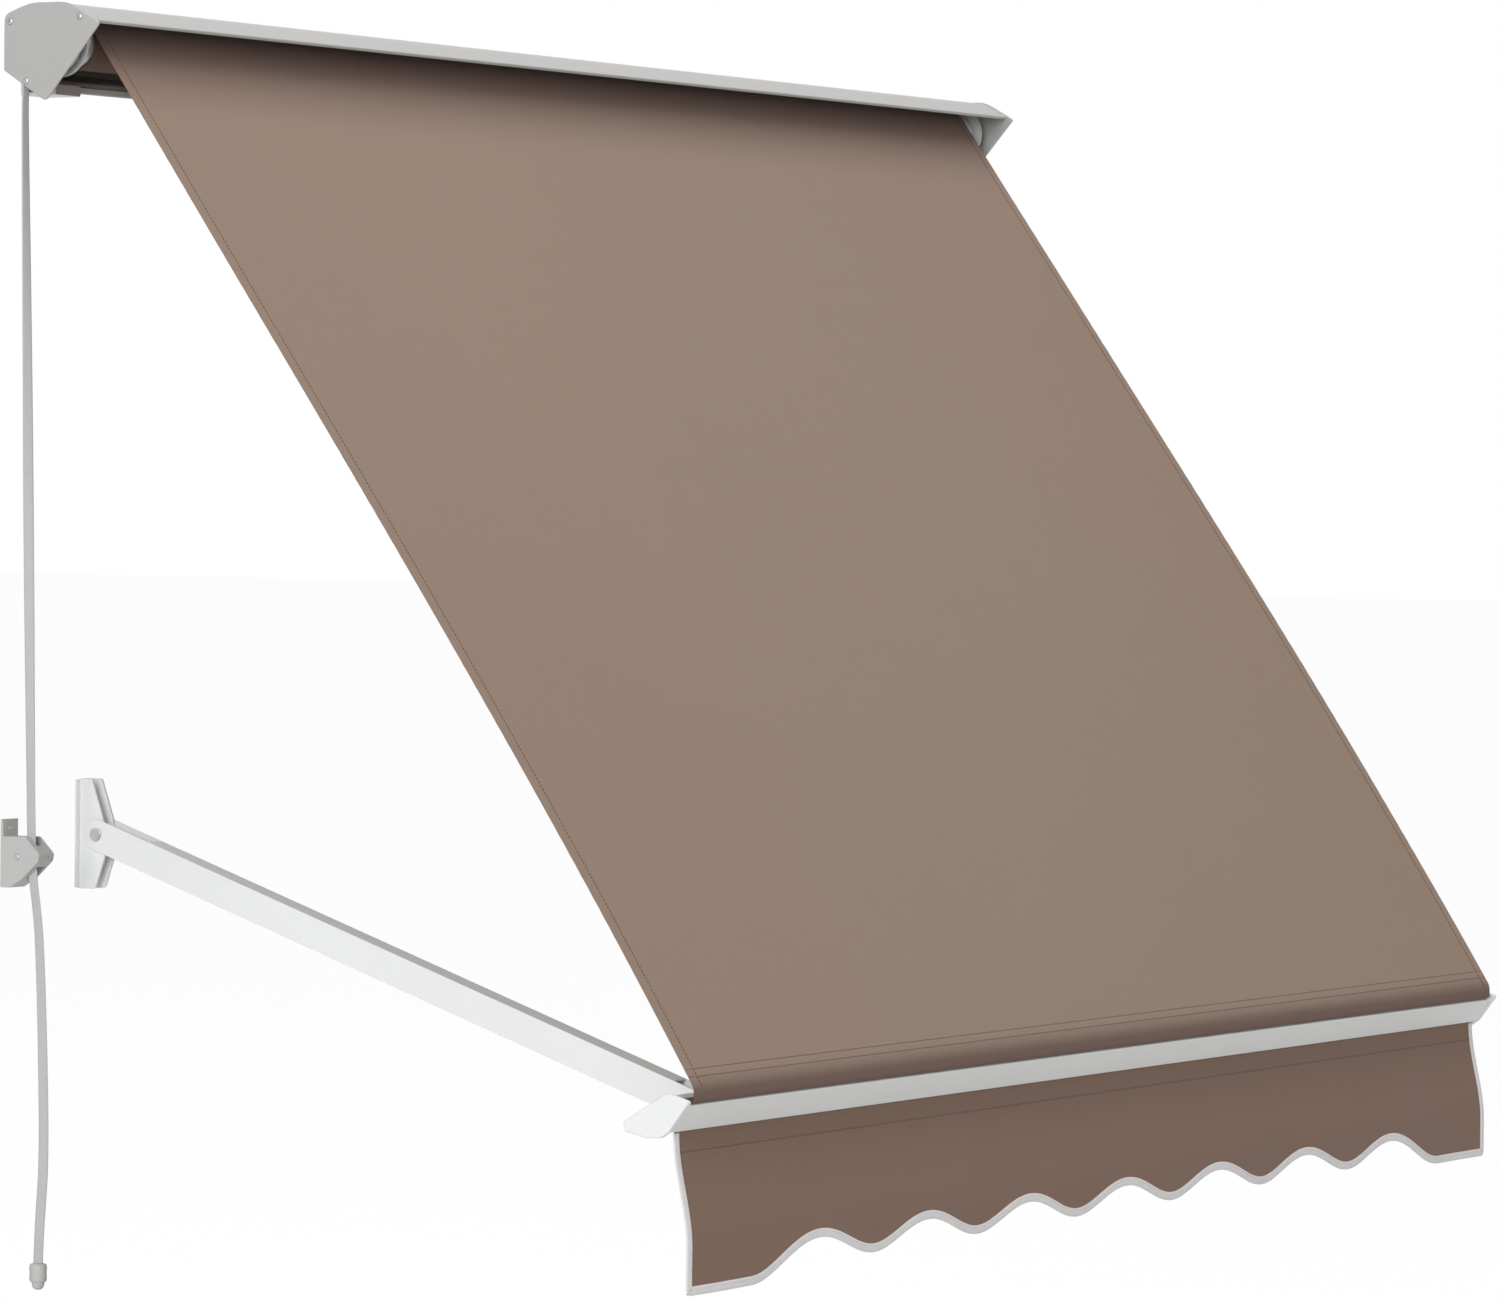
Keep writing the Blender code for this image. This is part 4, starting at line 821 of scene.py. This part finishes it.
def paints():
    """The materials by name, made on first use."""
    metal, cloth, strap = settings().awning_metal, settings().awning_cloth, settings().awning_strap
    makers = {
        "cassette_paint": lambda n: powder_coat(n, metal.cassette_colour),
        "rail_paint": lambda n: powder_coat(n, metal.rail_colour),
        "arm_paint": lambda n: powder_coat(n, metal.arm_colour),
        "moulded_white": lambda n: moulded_plastic(n, metal.plastic_colour),
        "bare_aluminium_finish": lambda n: drawn_aluminium(n, metal.bare_colour),
        "zinc_finish": lambda n: zinc_plate(n, metal.steel_colour),
        # The canopy's colour, with painted shade near the roll and the rail
        "canopy_weave": lambda n: awning_cloth(n, cloth.canopy_colour, cloth.yarn_pitch,
                                               CANOPY_HALF, shadow_colour=painted_shade_colour(cloth)),
        # The wound roll, painted dark all over as shade
        "wound_weave": lambda n: awning_cloth(n, painted_shade_colour(cloth), cloth.yarn_pitch,
                                              CANOPY_HALF),
        # Darker copy of the canopy cloth: painted shade on the upright valance
        "valance_weave": lambda n: awning_cloth(n, cloth.valance_colour, cloth.yarn_pitch,
                                                VALANCE_HALF, 0.0),
        "binding_tape": lambda n: edge_tape(n, cloth.binding_colour),
        "webbing_weave": lambda n: webbing(n, strap.colour, strap.rib, STRAP_WIDTH / 2),
        "brown_thread": lambda n: sewing_thread(n, cloth.thread_colour),
        "white_thread": lambda n: sewing_thread(n, shade(cloth.binding_colour, 0.85)),
    }
    return makers


def paint(name):
    found = bpy.data.materials.get(name)
    return found or paints()[name](name)


# Strap

def strap_line(spacing=0.006):
    """Points of a smooth curve through the strap's route, with the turn of its face."""
    route = [Vector(point) for point in STRAP_ROUTE]
    points = []
    for index in range(len(route) - 1):
        a, b = route[index], route[index + 1]
        before, after = route[max(index - 1, 0)], route[min(index + 2, len(route) - 1)]
        steps = max(1, round((Vector(b[:2]) - Vector(a[:2])).length / spacing))
        for step in range(steps):
            t = step / steps
            points.append(0.5 * (2 * a + (b - before) * t
                                 + (2 * before - 5 * a + 4 * b - after) * t ** 2
                                 + (3 * a - before - 3 * b + after) * t ** 3))
    points.append(route[-1])
    return points


def flat_profile(width, thickness):
    """A strap's cross-section with soft selvedges."""
    w, t = width / 2, thickness / 2
    inset = t * 0.9
    return [(-w + inset, -t), (-w * 0.5, -t), (0, -t), (w * 0.5, -t), (w - inset, -t),
            (w - t * 0.25, -t * 0.55), (w, 0), (w - t * 0.25, t * 0.55), (w - inset, t),
            (w * 0.5, t), (0, t), (-w * 0.5, t), (-w + inset, t), (-w + t * 0.25, t * 0.55),
            (-w, 0), (-w + t * 0.25, -t * 0.55)]


class AWNING_OT_strap(bpy.types.Operator):
    """Build the pull strap, its coil on the spool and the bead on its end"""

    bl_idname = "awning.strap"
    bl_label = "Strap"

    def execute(self, context):
        line = strap_line()
        path = [Vector((STRAP_X, -depth, height)) for depth, height, _ in line]
        frames = []
        side = Vector((1, 0, 0))
        for ahead, (_, _, degrees) in zip(headings(path), line):
            turn = radians(degrees)
            across = side * cos(turn) + ahead.cross(side) * sin(turn)
            frames.append((across, ahead.cross(across)))
        strap = link("pull_strap", sweep("pull_strap", path, frames,
                                         flat_profile(STRAP_WIDTH, STRAP_THICKNESS)))
        smooth(strap, 50)
        settle(strap, WEBBING, "cassette", "strap")
        bead = self.make_bead(path[-1])
        self.make_coil()
        return {"FINISHED"}

    def make_bead(self, end):
        """A moulded barrel with a rolled shoulder and the knot under it."""
        low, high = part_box("strap_end_bead")
        radius = (high.x - low.x) / 2
        height = 0.018
        knob = radius * 0.72
        profile = [(0, 0), (radius * 0.70, 0), (radius * 0.90, -0.0006), (radius * 0.98, -0.0020),
                   (radius, -0.0040), (radius * 0.965, -height * 0.5),
                   (radius, -height + 0.004), (radius * 0.98, -height + 0.0018),
                   (radius * 0.88, -height + 0.0003), (knob * 1.02, -height),
                   (knob, -height - 0.0012), (knob * 0.97, -height - 0.0032),
                   (knob * 0.80, -height - 0.0056), (knob * 0.45, -height - 0.0070),
                   (0, -height - 0.0074)]
        top = Vector((end.x, end.y, high.z))
        bead = link("strap_bead", revolve("strap_bead", profile, top, (0, 0, 1), 36))
        smooth(bead, 45)
        return settle(bead, PLASTIC, "cassette", "strap_end_bead")

    def make_coil(self):
        """The wound webbing: one long spiral between the spool's hub and its rim."""
        low, high = COIL_BOX
        outer = (high.z - low.z) / 2 - STRAP_THICKNESS / 2
        inner = COIL_HUB_RADIUS
        turns = (outer - inner) / (STRAP_THICKNESS + 0.1 * MILLIMETRE)
        steps = int(turns * 60)
        path, frames = [], []
        centre = Vector(((low.x + high.x) / 2, ROLLER_AXIS.y, ROLLER_AXIS.z))
        for step in range(steps + 1):
            share = step / steps
            angle = -2 * pi * turns * (1 - share)
            out = Vector((0, cos(angle), sin(angle)))
            path.append(centre + out * (inner + (outer - inner) * share))
            frames.append((Vector((1, 0, 0)), out))
        width = high.x - low.x
        coil = link("wound_strap", sweep("wound_strap", path, frames,
                                         flat_profile(width, STRAP_THICKNESS)))
        smooth(coil, 50)
        settle(coil, WEBBING, "roller", "strap_coil")


# Canopy

def leaving_point():
    """Where the cloth leaves the roll, its direction and the angle round the roller."""
    centre = Vector((ROLLER_AXIS.y, ROLLER_AXIS.z))
    target = Vector((-CANOPY_HEM[0][0], CANOPY_HEM[0][1]))
    reach = target - centre
    radius = ROLL_RADIUS + ROLL_GAP
    angle = atan2(reach.y, reach.x) - acos(radius / reach.length)
    tangent = centre + Vector((cos(angle), sin(angle))) * radius
    return centre, radius, angle, tangent


def canopy_line(crown):
    """The canopy's middle line from the roll to the rail's channel, as (y, z) points."""
    centre, radius, angle, tangent = leaving_point()
    points = [centre + Vector((cos(a), sin(a))) * radius
              for a in (angle - radians(8) * (ROLL_WRAP - i) for i in range(ROLL_WRAP))]
    hem = bend_path([(-tangent.x, tangent.y, 0), *CANOPY_HEM, (*CANOPY_END, 0)])
    hem = [Vector((-p.x, p.y)) for p in hem[1:]]
    start, end = tangent, hem[0]
    run = end - start
    out = Vector((run.y, -run.x)).normalized()
    rows = round(run.length / CANOPY_ROW)
    for row in range(rows):
        t = row / rows
        late = t ** 1.5
        bow = crown * 4 * late * (1 - late)
        points.append(start + run * t + out * bow)
    return points + hem


def across_places(half, count, hem):
    """Places across a cloth, with a pair close together where each hem ends."""
    step = 0.35 * MILLIMETRE
    marks = [s * (half - hem + d) for s in (-1, 1) for d in (-step, step)]
    kept = [x for x in spread(half, count) if all(abs(x - m) > 2 * step for m in marks)]
    return sorted(kept + marks)


class AWNING_OT_canopy(bpy.types.Operator):
    """Build the canopy cloth with its side hems, its bottom hem and the seams"""

    bl_idname = "awning.canopy"
    bl_label = "Canopy"

    def execute(self, context):
        cloth = context.scene.awning_cloth
        line = canopy_line(cloth.crown)
        lengths = run_lengths(line)
        places = across_places(CANOPY_HALF - CLOTH_THICKNESS, CANOPY_COLUMNS, cloth.hem_width)
        grid = [[self.point(line, lengths, row, x, cloth) for x in places]
                for row in range(len(line))]
        flat = [[(x, lengths[row]) for x in places] for row in range(len(line))]
        canopy = link("canopy_cloth_sheet", sheet_mesh("canopy_cloth_sheet", grid, flat))
        thicken(canopy, CLOTH_THICKNESS)
        smooth(canopy, 60)
        settle(canopy, CANOPY_CLOTH, "canopy_cloth", "canopy")
        seams = self.sew(line, lengths, cloth)
        self.crumple(canopy, line)
        self.crumple(seams, line)
        return {"FINISHED"}

    def crumple(self, piece, line):
        """Gives the piece a mesh of its own."""
        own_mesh(piece)

    def point(self, line, lengths, row, x, cloth, lift=0.0):
        """A point of the cloth with its slack waves and the extra layer at its hems."""
        here = line[row]
        ahead = line[min(row + 1, len(line) - 1)] - line[max(row - 1, 0)]
        out = Vector((ahead.y, -ahead.x)).normalized()
        s, total = lengths[row], lengths[-1]
        free = clamp((s - 0.09) / 0.15) * clamp((total - 0.05 - s) / 0.12)
        wave = noise.noise(Vector((x * 2.1, s * 1.3, 4.7))) \
            + 0.45 * noise.noise(Vector((x * 5.2 + s * 2.0, s * 3.1, 1.9)))
        side = CANOPY_HALF - abs(x)
        hem = CLOTH_THICKNESS * 0.5 if side < cloth.hem_width else 0.0
        pucker = 0.12 * MILLIMETRE * sin(s * 2 * pi / 0.021) if side < cloth.hem_width else 0.0
        height = wave * cloth.ripple * free + hem + pucker * free + lift
        return Vector((x, here.x + out.x * height, here.y + out.y * height))

    def sew(self, line, lengths, cloth):
        """A seam down each side and two across above the rail."""
        lift = CLOTH_THICKNESS * 0.62
        runs = []
        last = next(i for i, s in enumerate(lengths) if s > lengths[-1] - 0.030)
        for side in (-1, 1):
            x = side * (CANOPY_HALF - cloth.hem_width + SIDE_SEAM_INSET)
            runs.append([self.point(line, lengths, row, x, cloth, lift)
                         for row in range(ROLL_WRAP, last)])
        across = spread(CANOPY_HALF - CROSS_SEAM_INSET, 120)
        for back in CROSS_SEAMS:
            place = lengths[-1] - back
            row = next(i for i, s in enumerate(lengths) if s > place) - 1
            part = (place - lengths[row]) / (lengths[row + 1] - lengths[row])
            runs.append([self.point(line, lengths, row, x, cloth, lift).lerp(
                self.point(line, lengths, row + 1, x, cloth, lift), part) for x in across])
        seams = stitched("canopy_stitching", "canopy_seams", runs, "brown_thread")
        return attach(seams, "canopy_cloth")


class AWNING_OT_cloth_roll(bpy.types.Operator):
    """Build the cloth that stays wound on the roller"""

    bl_idname = "awning.cloth_roll"
    bl_label = "Cloth roll"

    def execute(self, context):
        _, _, angle, _ = leaving_point()
        turns = WOUND_TURNS
        steps = int(turns * 72)
        inner = TUBE_RADIUS + 0.0006
        outer = ROLL_RADIUS + 0.0003
        grid, flat = [], []
        places = spread(CANOPY_HALF, 24)
        for step in range(steps + 1):
            share = step / steps
            a = angle - 2 * pi * turns * (1 - share) - radians(2)
            radius = inner + (outer - inner) * share
            y = ROLLER_AXIS.y + radius * cos(a)
            z = ROLLER_AXIS.z + radius * sin(a)
            grid.append([Vector((x * 0.9993, y, z)) for x in places])
            flat.append([(x, share * turns * 2 * pi * outer) for x in places])
        roll = link("wound_cloth", sheet_mesh("wound_cloth", grid, flat))
        thicken(roll, 0.5 * MILLIMETRE)
        smooth(roll, 60)
        # The wound cloth is painted dark, as shade inside the cassette
        settle(roll, SHADED_WOUND_CLOTH, "roller", "fabric_roll")
        return {"FINISHED"}


# Valance

def valance_depth(height):
    share = clamp((RAIL_TOE - height - 0.002) / VALANCE_FLARE_DROP)
    return -HANG_AXIS.y + VALANCE_FLARE * share * share * (3 - 2 * share)


def scallop_edge(x):
    """Height of the valance's lower edge at one place across."""
    outer = SCALLOP_PITCH * SCALLOP_COUNT / 2
    if abs(x) < outer:
        return VALANCE_CREST - SCALLOP_DEPTH * (1 - cos(2 * pi * (x + outer) / SCALLOP_PITCH)) / 2
    share = clamp((abs(x) - outer) / END_LOBE_RUN)
    return VALANCE_CREST - END_LOBE_DEPTH * (1 - cos(pi * share)) / 2


def valance_point(x, height, fold, lift=0.0):
    """A point of the hanging cloth, with its soft folds; lift moves it to the front."""
    loose = clamp((RAIL_TOE - height) / 0.13) ** 1.4
    wave = 0.6 * sin(x * 2 * pi / SCALLOP_PITCH + 0.6) + noise.noise(Vector((x * 7.0, 2.3, 0.4)))
    return Vector((x, -valance_depth(height) - wave * fold * loose - lift, height))


class AWNING_OT_valance(bpy.types.Operator):
    """Build the scalloped valance, its edge tape and its seams"""

    bl_idname = "awning.valance"
    bl_label = "Valance"

    def execute(self, context):
        cloth = context.scene.awning_cloth
        half = VALANCE_HALF - 0.0012
        top = HANG_AXIS.z - 0.0030
        places = spread(half, VALANCE_COLUMNS)
        shares = [(row / VALANCE_ROWS) ** 1.15 for row in range(VALANCE_ROWS + 1)]
        heights = [[top + (scallop_edge(x) + 0.0012 - top) * share for x in places]
                   for share in shares]
        grid = [[valance_point(x, z, cloth.fold) for x, z in zip(places, row)]
                for row in heights]
        flat = [[(x, top - z) for x, z in zip(places, row)] for row in heights]
        valance = link("valance_cloth_sheet", sheet_mesh("valance_cloth_sheet", grid, flat))
        thicken(valance, CLOTH_THICKNESS)
        smooth(valance, 60)
        settle(valance, VALANCE_CLOTH, "hanging_cloth", "valance")
        tape = self.bind(cloth)
        seams = self.sew(cloth)
        return {"FINISHED"}

    def edge_line(self):
        """The bound edge: down one side, along the scallops and up the other side."""
        half = VALANCE_HALF
        top = RAIL_TOE - 0.0015
        corner = 0.006
        low = scallop_edge(half)
        points = [Vector((-half, top + (low + corner - top) * i / 24)) for i in range(25)]
        for i in range(1, 6):
            a = pi + pi / 2 * i / 6
            points.append(Vector((-half + corner * (1 + cos(a)), low + corner * (1 + sin(a)))))
        points += [Vector((x, scallop_edge(x))) for x in spread(half - corner, 480)]
        mirrored = [Vector((-p.x, p.y)) for p in points[:30]]
        return points + mirrored[::-1]

    def bind(self, cloth):
        """The folded tape over the edge of the cloth, front and back."""
        line = self.edge_line()
        face = CLOTH_THICKNESS / 2 + 0.55 * MILLIMETRE
        wide = BINDING_WIDTH
        profile = [(0.0, -face * 0.55), (0.35 * MILLIMETRE, -face * 0.9), (wide * 0.3, -face),
                   (wide * 0.85, -face), (wide, -face * 0.75),
                   (wide, face * 0.75), (wide * 0.85, face), (wide * 0.3, face),
                   (0.35 * MILLIMETRE, face * 0.9), (0.0, face * 0.55)]
        grid, flat = [], []
        for point, along, run in zip(line, headings(line), run_lengths(line)):
            inward = Vector((-along.y, along.x))
            ring = []
            for across, lift in profile:
                spot = point + inward * across
                ring.append(valance_point(spot.x, spot.y, cloth.fold, -lift))
            grid.append(ring)
            flat.append([(across if lift < 0 else -across, run) for across, lift in profile])
        mesh = sheet_mesh("valance_edge_tape", grid, flat, closed_columns=True)
        work = bmesh.new()
        work.from_mesh(mesh)
        bmesh.ops.holes_fill(work, edges=[e for e in work.edges if e.is_boundary], sides=0)
        bmesh.ops.recalc_face_normals(work, faces=work.faces)
        work.to_mesh(mesh)
        work.free()
        tape = link("valance_edge_tape", mesh)
        smooth(tape, 48)
        return settle(tape, TAPE, "hanging_cloth", "valance_binding")

    def sew(self, cloth):
        """The seam under the rail and the seam that holds the tape."""
        lift = CLOTH_THICKNESS * 0.6
        seam_height = RAIL_TOE - TOP_SEAM_DROP
        top = [valance_point(x, seam_height, cloth.fold, lift)
               for x in spread(VALANCE_HALF - BINDING_WIDTH, 240)]
        upper = stitched("valance_top_stitching", "valance_top_seam", [top], "brown_thread")
        line = self.edge_line()
        held = []
        for point, along in zip(line, headings(line)):
            spot = point + Vector((-along.y, along.x)) * (BINDING_WIDTH - 0.0022)
            held.append(valance_point(spot.x, spot.y, cloth.fold, CLOTH_THICKNESS / 2
                                      + 0.62 * MILLIMETRE))
        lower = stitched("valance_tape_stitching", "valance_tape_seam", [held], "white_thread",
                         0.8)
        for seam, slot in ((upper, "valance_cloth"), (lower, "pale_tape")):
            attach(seam, "hanging_cloth")
        return [upper, lower]


# Cassette

class AWNING_OT_cassette(bpy.types.Operator):
    """Finish the hood, the end plates and the wall clips"""

    bl_idname = "awning.cassette"
    bl_label = "Cassette"

    def execute(self, context):
        edge = context.scene.awning_metal.edge_radius
        dressed("hood_profile", CASE_PAINT, "cassette", angle=38)
        for word in ("left", "right"):
            dressed(f"{word}_end_plate", CASE_PAINT, "cassette", angle=48)
        for word in ("left", "middle", "right"):
            dressed(f"{word}_wall_clip", ALUMINIUM, "cassette", edge=edge * 0.6)
        return {"FINISHED"}


class AWNING_OT_plate_screws(bpy.types.Operator):
    """Build the pan-head screws of both end plates"""

    bl_idname = "awning.plate_screws"
    bl_label = "Plate screws"

    def execute(self, context):
        nodes = sorted(name for name in NODES if "plate_screw" in name)
        points, looks = [], []
        for node in nodes:
            low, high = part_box(node)
            side = -1 if "left" in node else 1
            outer = low.x if side < 0 else high.x
            points.append(Vector((outer, (low.y + high.y) / 2, (low.z + high.z) / 2)))
            looks.append(Vector((side, 0, 0)))
        low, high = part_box(nodes[0])
        model = self.model((high.z - low.z) / 2, high.x - low.x)
        mesh = bpy.data.meshes.new("screw_places")
        mesh.from_pydata(points, [], [])
        outwards = mesh.attributes.new("outwards", "FLOAT_VECTOR", "POINT")
        for item, look in zip(outwards.data, looks):
            item.vector = look
        screws = grow("plate_screw_set", mesh, screw_tree(), {
            "Screw": model, "Size": 1.0, "Steel": paint("zinc_finish")})
        bpy.data.objects.remove(model)
        smooth(screws, 40)
        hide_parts(*nodes)
        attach(screws, "cassette")
        return {"FINISHED"}

    def model(self, head, length):
        """A screw that looks up +Z, with its top at the origin and a cross recess."""
        dome = [(0, 0), (head * 0.45, -0.00010), (head * 0.78, -0.00045), (head * 0.96, -0.00105),
                (head, -0.0016), (head * 0.97, -0.0018), (head * 0.48, -0.0018),
                (head * 0.48, -length + 0.0016), (head * 0.12, -length), (0, -length)]
        screw = link("screw_model", revolve("screw_model", dome, (0, 0, 0), (0, 0, 1), 28))
        for turn in (0, pi / 2):
            cutter = link("recess", bpy.data.meshes.new("recess"))
            work = bmesh.new()
            bmesh.ops.create_cube(work, size=1.0)
            bmesh.ops.scale(work, vec=(head * 1.05, head * 0.20, 0.0022), verts=work.verts)
            bmesh.ops.rotate(work, matrix=Matrix.Rotation(turn, 3, "Z"), verts=work.verts)
            work.to_mesh(cutter.data)
            work.free()
            cut = screw.modifiers.new("recess", "BOOLEAN")
            cut.object = cutter
            cut.solver = "EXACT"
            flatten(screw)
            bpy.data.objects.remove(cutter)
        return screw


class AWNING_OT_roller(bpy.types.Operator):
    """Finish the roller tube, its plugs, the strap spool and the roller pins"""

    bl_idname = "awning.roller"
    bl_label = "Roller"

    def execute(self, context):
        dressed("roller_tube", ALUMINIUM, "roller")
        for word in ("left", "right"):
            dressed(f"{word}_roller_plug", PLASTIC, "roller")
            dressed(f"{word}_roller_pin", ZINC, "cassette")
        dressed("strap_spool", PLASTIC, "roller")
        return {"FINISHED"}


# Arms and rail

class AWNING_OT_arms(bpy.types.Operator):
    """Finish the arms, their wall brackets and the pivot pins"""

    bl_idname = "awning.arms"
    bl_label = "Arms"

    def execute(self, context):
        edge = context.scene.awning_metal.edge_radius
        for word in ("left", "right"):
            dressed(f"{word}_arm", ARM_PAINT, f"{word}_arm_body", edge=edge)
            dressed(f"{word}_arm_bracket", ARM_PAINT, "cassette", edge=edge)
            dressed(f"{word}_wall_pin", ZINC, "cassette", angle=50)
            dressed(f"{word}_front_pin", ZINC, "rail", angle=50)
        return {"FINISHED"}


class AWNING_OT_front_rail(bpy.types.Operator):
    """Finish the front rail, its end caps, its lugs and both hem rods"""

    bl_idname = "awning.front_rail"
    bl_label = "Front rail"

    def execute(self, context):
        dressed("front_rail", RAIL_PAINT, "rail", angle=38)
        for word in ("left", "right"):
            dressed(f"{word}_rail_cap", CAP_PAINT, "rail", angle=50)
            dressed(f"{word}_rail_lug", ALUMINIUM, "rail", edge=0.4 * MILLIMETRE)
        dressed("canopy_hem_rod", PLASTIC, "rail", angle=50)
        dressed("valance_hem_rod", PLASTIC, "hanging_cloth", angle=50)
        return {"FINISHED"}


class AWNING_OT_strap_lock(bpy.types.Operator):
    """Finish the strap lock on the wall with its cam, pin and rivet"""

    bl_idname = "awning.strap_lock"
    bl_label = "Strap lock"

    def execute(self, context):
        dressed("strap_lock_body", PLASTIC, "cassette", edge=0.6 * MILLIMETRE)
        dressed("strap_lock_cam", ALUMINIUM, "lock_cam")
        for node in ("strap_lock_cam_pin", "strap_lock_rivet"):
            dressed(node, ZINC, "cassette", angle=50)
        return {"FINISHED"}


# Stage

class AWNING_OT_studio(bpy.types.Operator):
    """Set up the camera, the floor, the sky and the lamps"""

    bl_idname = "awning.studio"
    bl_label = "Studio"

    def execute(self, context):
        self.camera(context)
        self.floor()
        studio = context.scene.awning_studio
        self.sky(context, studio.sky)
        for name, place, size in LAMPS:
            self.lamp(f"{name}_lamp", Vector(place), size, getattr(studio, name))
        context.scene.view_settings.view_transform = "Standard"
        return {"FINISHED"}

    def camera(self, context):
        turn, tilt, roll = CAMERA_TURN, CAMERA_TILT, CAMERA_ROLL
        ahead = Vector((sin(turn) * cos(tilt), cos(turn) * cos(tilt), sin(tilt)))
        level = Vector((cos(turn), -sin(turn), 0.0))
        above = level.cross(ahead)
        right = level * cos(roll) + above * sin(roll)
        up = above * cos(roll) - level * sin(roll)
        lens = bpy.data.cameras.new("photo_camera")
        lens.lens = CAMERA_LENS
        lens.sensor_width = 36.0
        lens.clip_end = 200.0
        camera = link("photo_camera", lens)
        camera.matrix_world = Matrix.Translation(CAMERA_PLACE) @ Matrix(
            (right, up, -ahead)).transposed().to_4x4()
        context.scene.camera = camera

    def floor(self):
        """A floor that the camera sees as white, with only the awning's shadow on it."""
        reach = FLOOR_REACH
        mesh = bpy.data.meshes.new("studio_floor")
        mesh.from_pydata([(-reach, -reach, FLOOR_HEIGHT), (reach, -reach, FLOOR_HEIGHT),
                          (reach, reach, FLOOR_HEIGHT), (-reach, reach, FLOOR_HEIGHT)], [],
                         [(0, 1, 2, 3)])
        floor = link("studio_floor", mesh)
        finish = Finish("studio_floor", FLOOR_COLOUR, 0.9, specular=0.0)
        tree = finish.tree
        glow = tree_node(tree, "ShaderNodeEmission", values={"Strength": FLOOR_GLOW})
        white = tree_node(tree, "ShaderNodeMath", {"operation": "MULTIPLY"},
                          {0: self.seen(tree), 1: FLOOR_WHITE})
        both = tree_node(tree, "ShaderNodeMixShader", values={
            0: white.outputs[0], 1: finish.shader.outputs[0], 2: glow.outputs[0]})
        tree.links.new(both.outputs[0], tree.nodes["Material Output"].inputs["Surface"])
        wear(floor, finish.material)

    def seen(self, tree):
        """One for rays that come from the camera, a mirror or clear glass."""
        rays = tree_node(tree, "ShaderNodeLightPath").outputs
        most = rays["Is Camera Ray"]
        for kind in ("Is Glossy Ray", "Is Transmission Ray"):
            most = tree_node(tree, "ShaderNodeMath", {"operation": "MAXIMUM"},
                             {0: most, 1: rays[kind]}).outputs[0]
        return most

    def sky(self, context, strength):
        """An even light that looks pure white where it is seen itself."""
        world = bpy.data.worlds.new("studio_sky")
        world.use_nodes = True
        tree = world.node_tree
        tree.nodes.clear()
        light, white = [tree_node(tree, "ShaderNodeBackground", values={
            "Color": (1, 1, 1, 1), "Strength": value}) for value in (strength, 1.0)]
        mixed = tree_node(tree, "ShaderNodeMixShader", values={
            0: self.seen(tree), 1: light.outputs[0], 2: white.outputs[0]})
        tree_node(tree, "ShaderNodeOutputWorld", values={"Surface": mixed.outputs[0]})
        context.scene.world = world

    def lamp(self, name, place, size, power):
        data = bpy.data.lights.new(name, "AREA")
        data.shape = "DISK"
        data.size = size
        data.energy = power
        lamp = link(name, data)
        lamp.location = place
        aim = Vector(LAMP_TARGET) - place
        lamp.rotation_euler = aim.to_track_quat("-Z", "Y").to_euler()


OPERATORS = (AWNING_OT_studio, AWNING_OT_strap, AWNING_OT_canopy, AWNING_OT_cloth_roll,
             AWNING_OT_valance, AWNING_OT_cassette, AWNING_OT_plate_screws, AWNING_OT_roller,
             AWNING_OT_arms, AWNING_OT_front_rail, AWNING_OT_strap_lock)


class AWNING_PT_pieces(bpy.types.Panel):
    """Lists the awning's pieces and their sizes and colours"""

    bl_idname = "AWNING_PT_pieces"
    bl_label = "Window Awning"
    bl_space_type = "VIEW_3D"
    bl_region_type = "UI"
    bl_category = "Awning"

    def draw(self, context):
        for operator in OPERATORS:
            self.layout.operator(operator.bl_idname)
        for name in GROUPS:
            group = getattr(context.scene, name)
            box = self.layout.box()
            for key in group.__annotations__:
                box.prop(group, key)


GROUPS = {"awning_cloth": AwningCloth, "awning_metal": AwningMetal,
          "awning_strap": AwningStrap, "awning_studio": AwningStudio}


def register():
    for name, group in GROUPS.items():
        bpy.utils.register_class(group)
        setattr(bpy.types.Scene, name, PointerProperty(type=group))
    for item in (*OPERATORS, AWNING_PT_pieces):
        bpy.utils.register_class(item)


def unregister():
    for item in (AWNING_PT_pieces, *reversed(OPERATORS)):
        bpy.utils.unregister_class(item)
    for name, group in reversed(GROUPS.items()):
        delattr(bpy.types.Scene, name)
        bpy.utils.unregister_class(group)


def main():
    register()
    for operator in OPERATORS:
        group, call = operator.bl_idname.split(".")
        getattr(getattr(bpy.ops, group), call)()


if __name__ == "__main__":
    main()
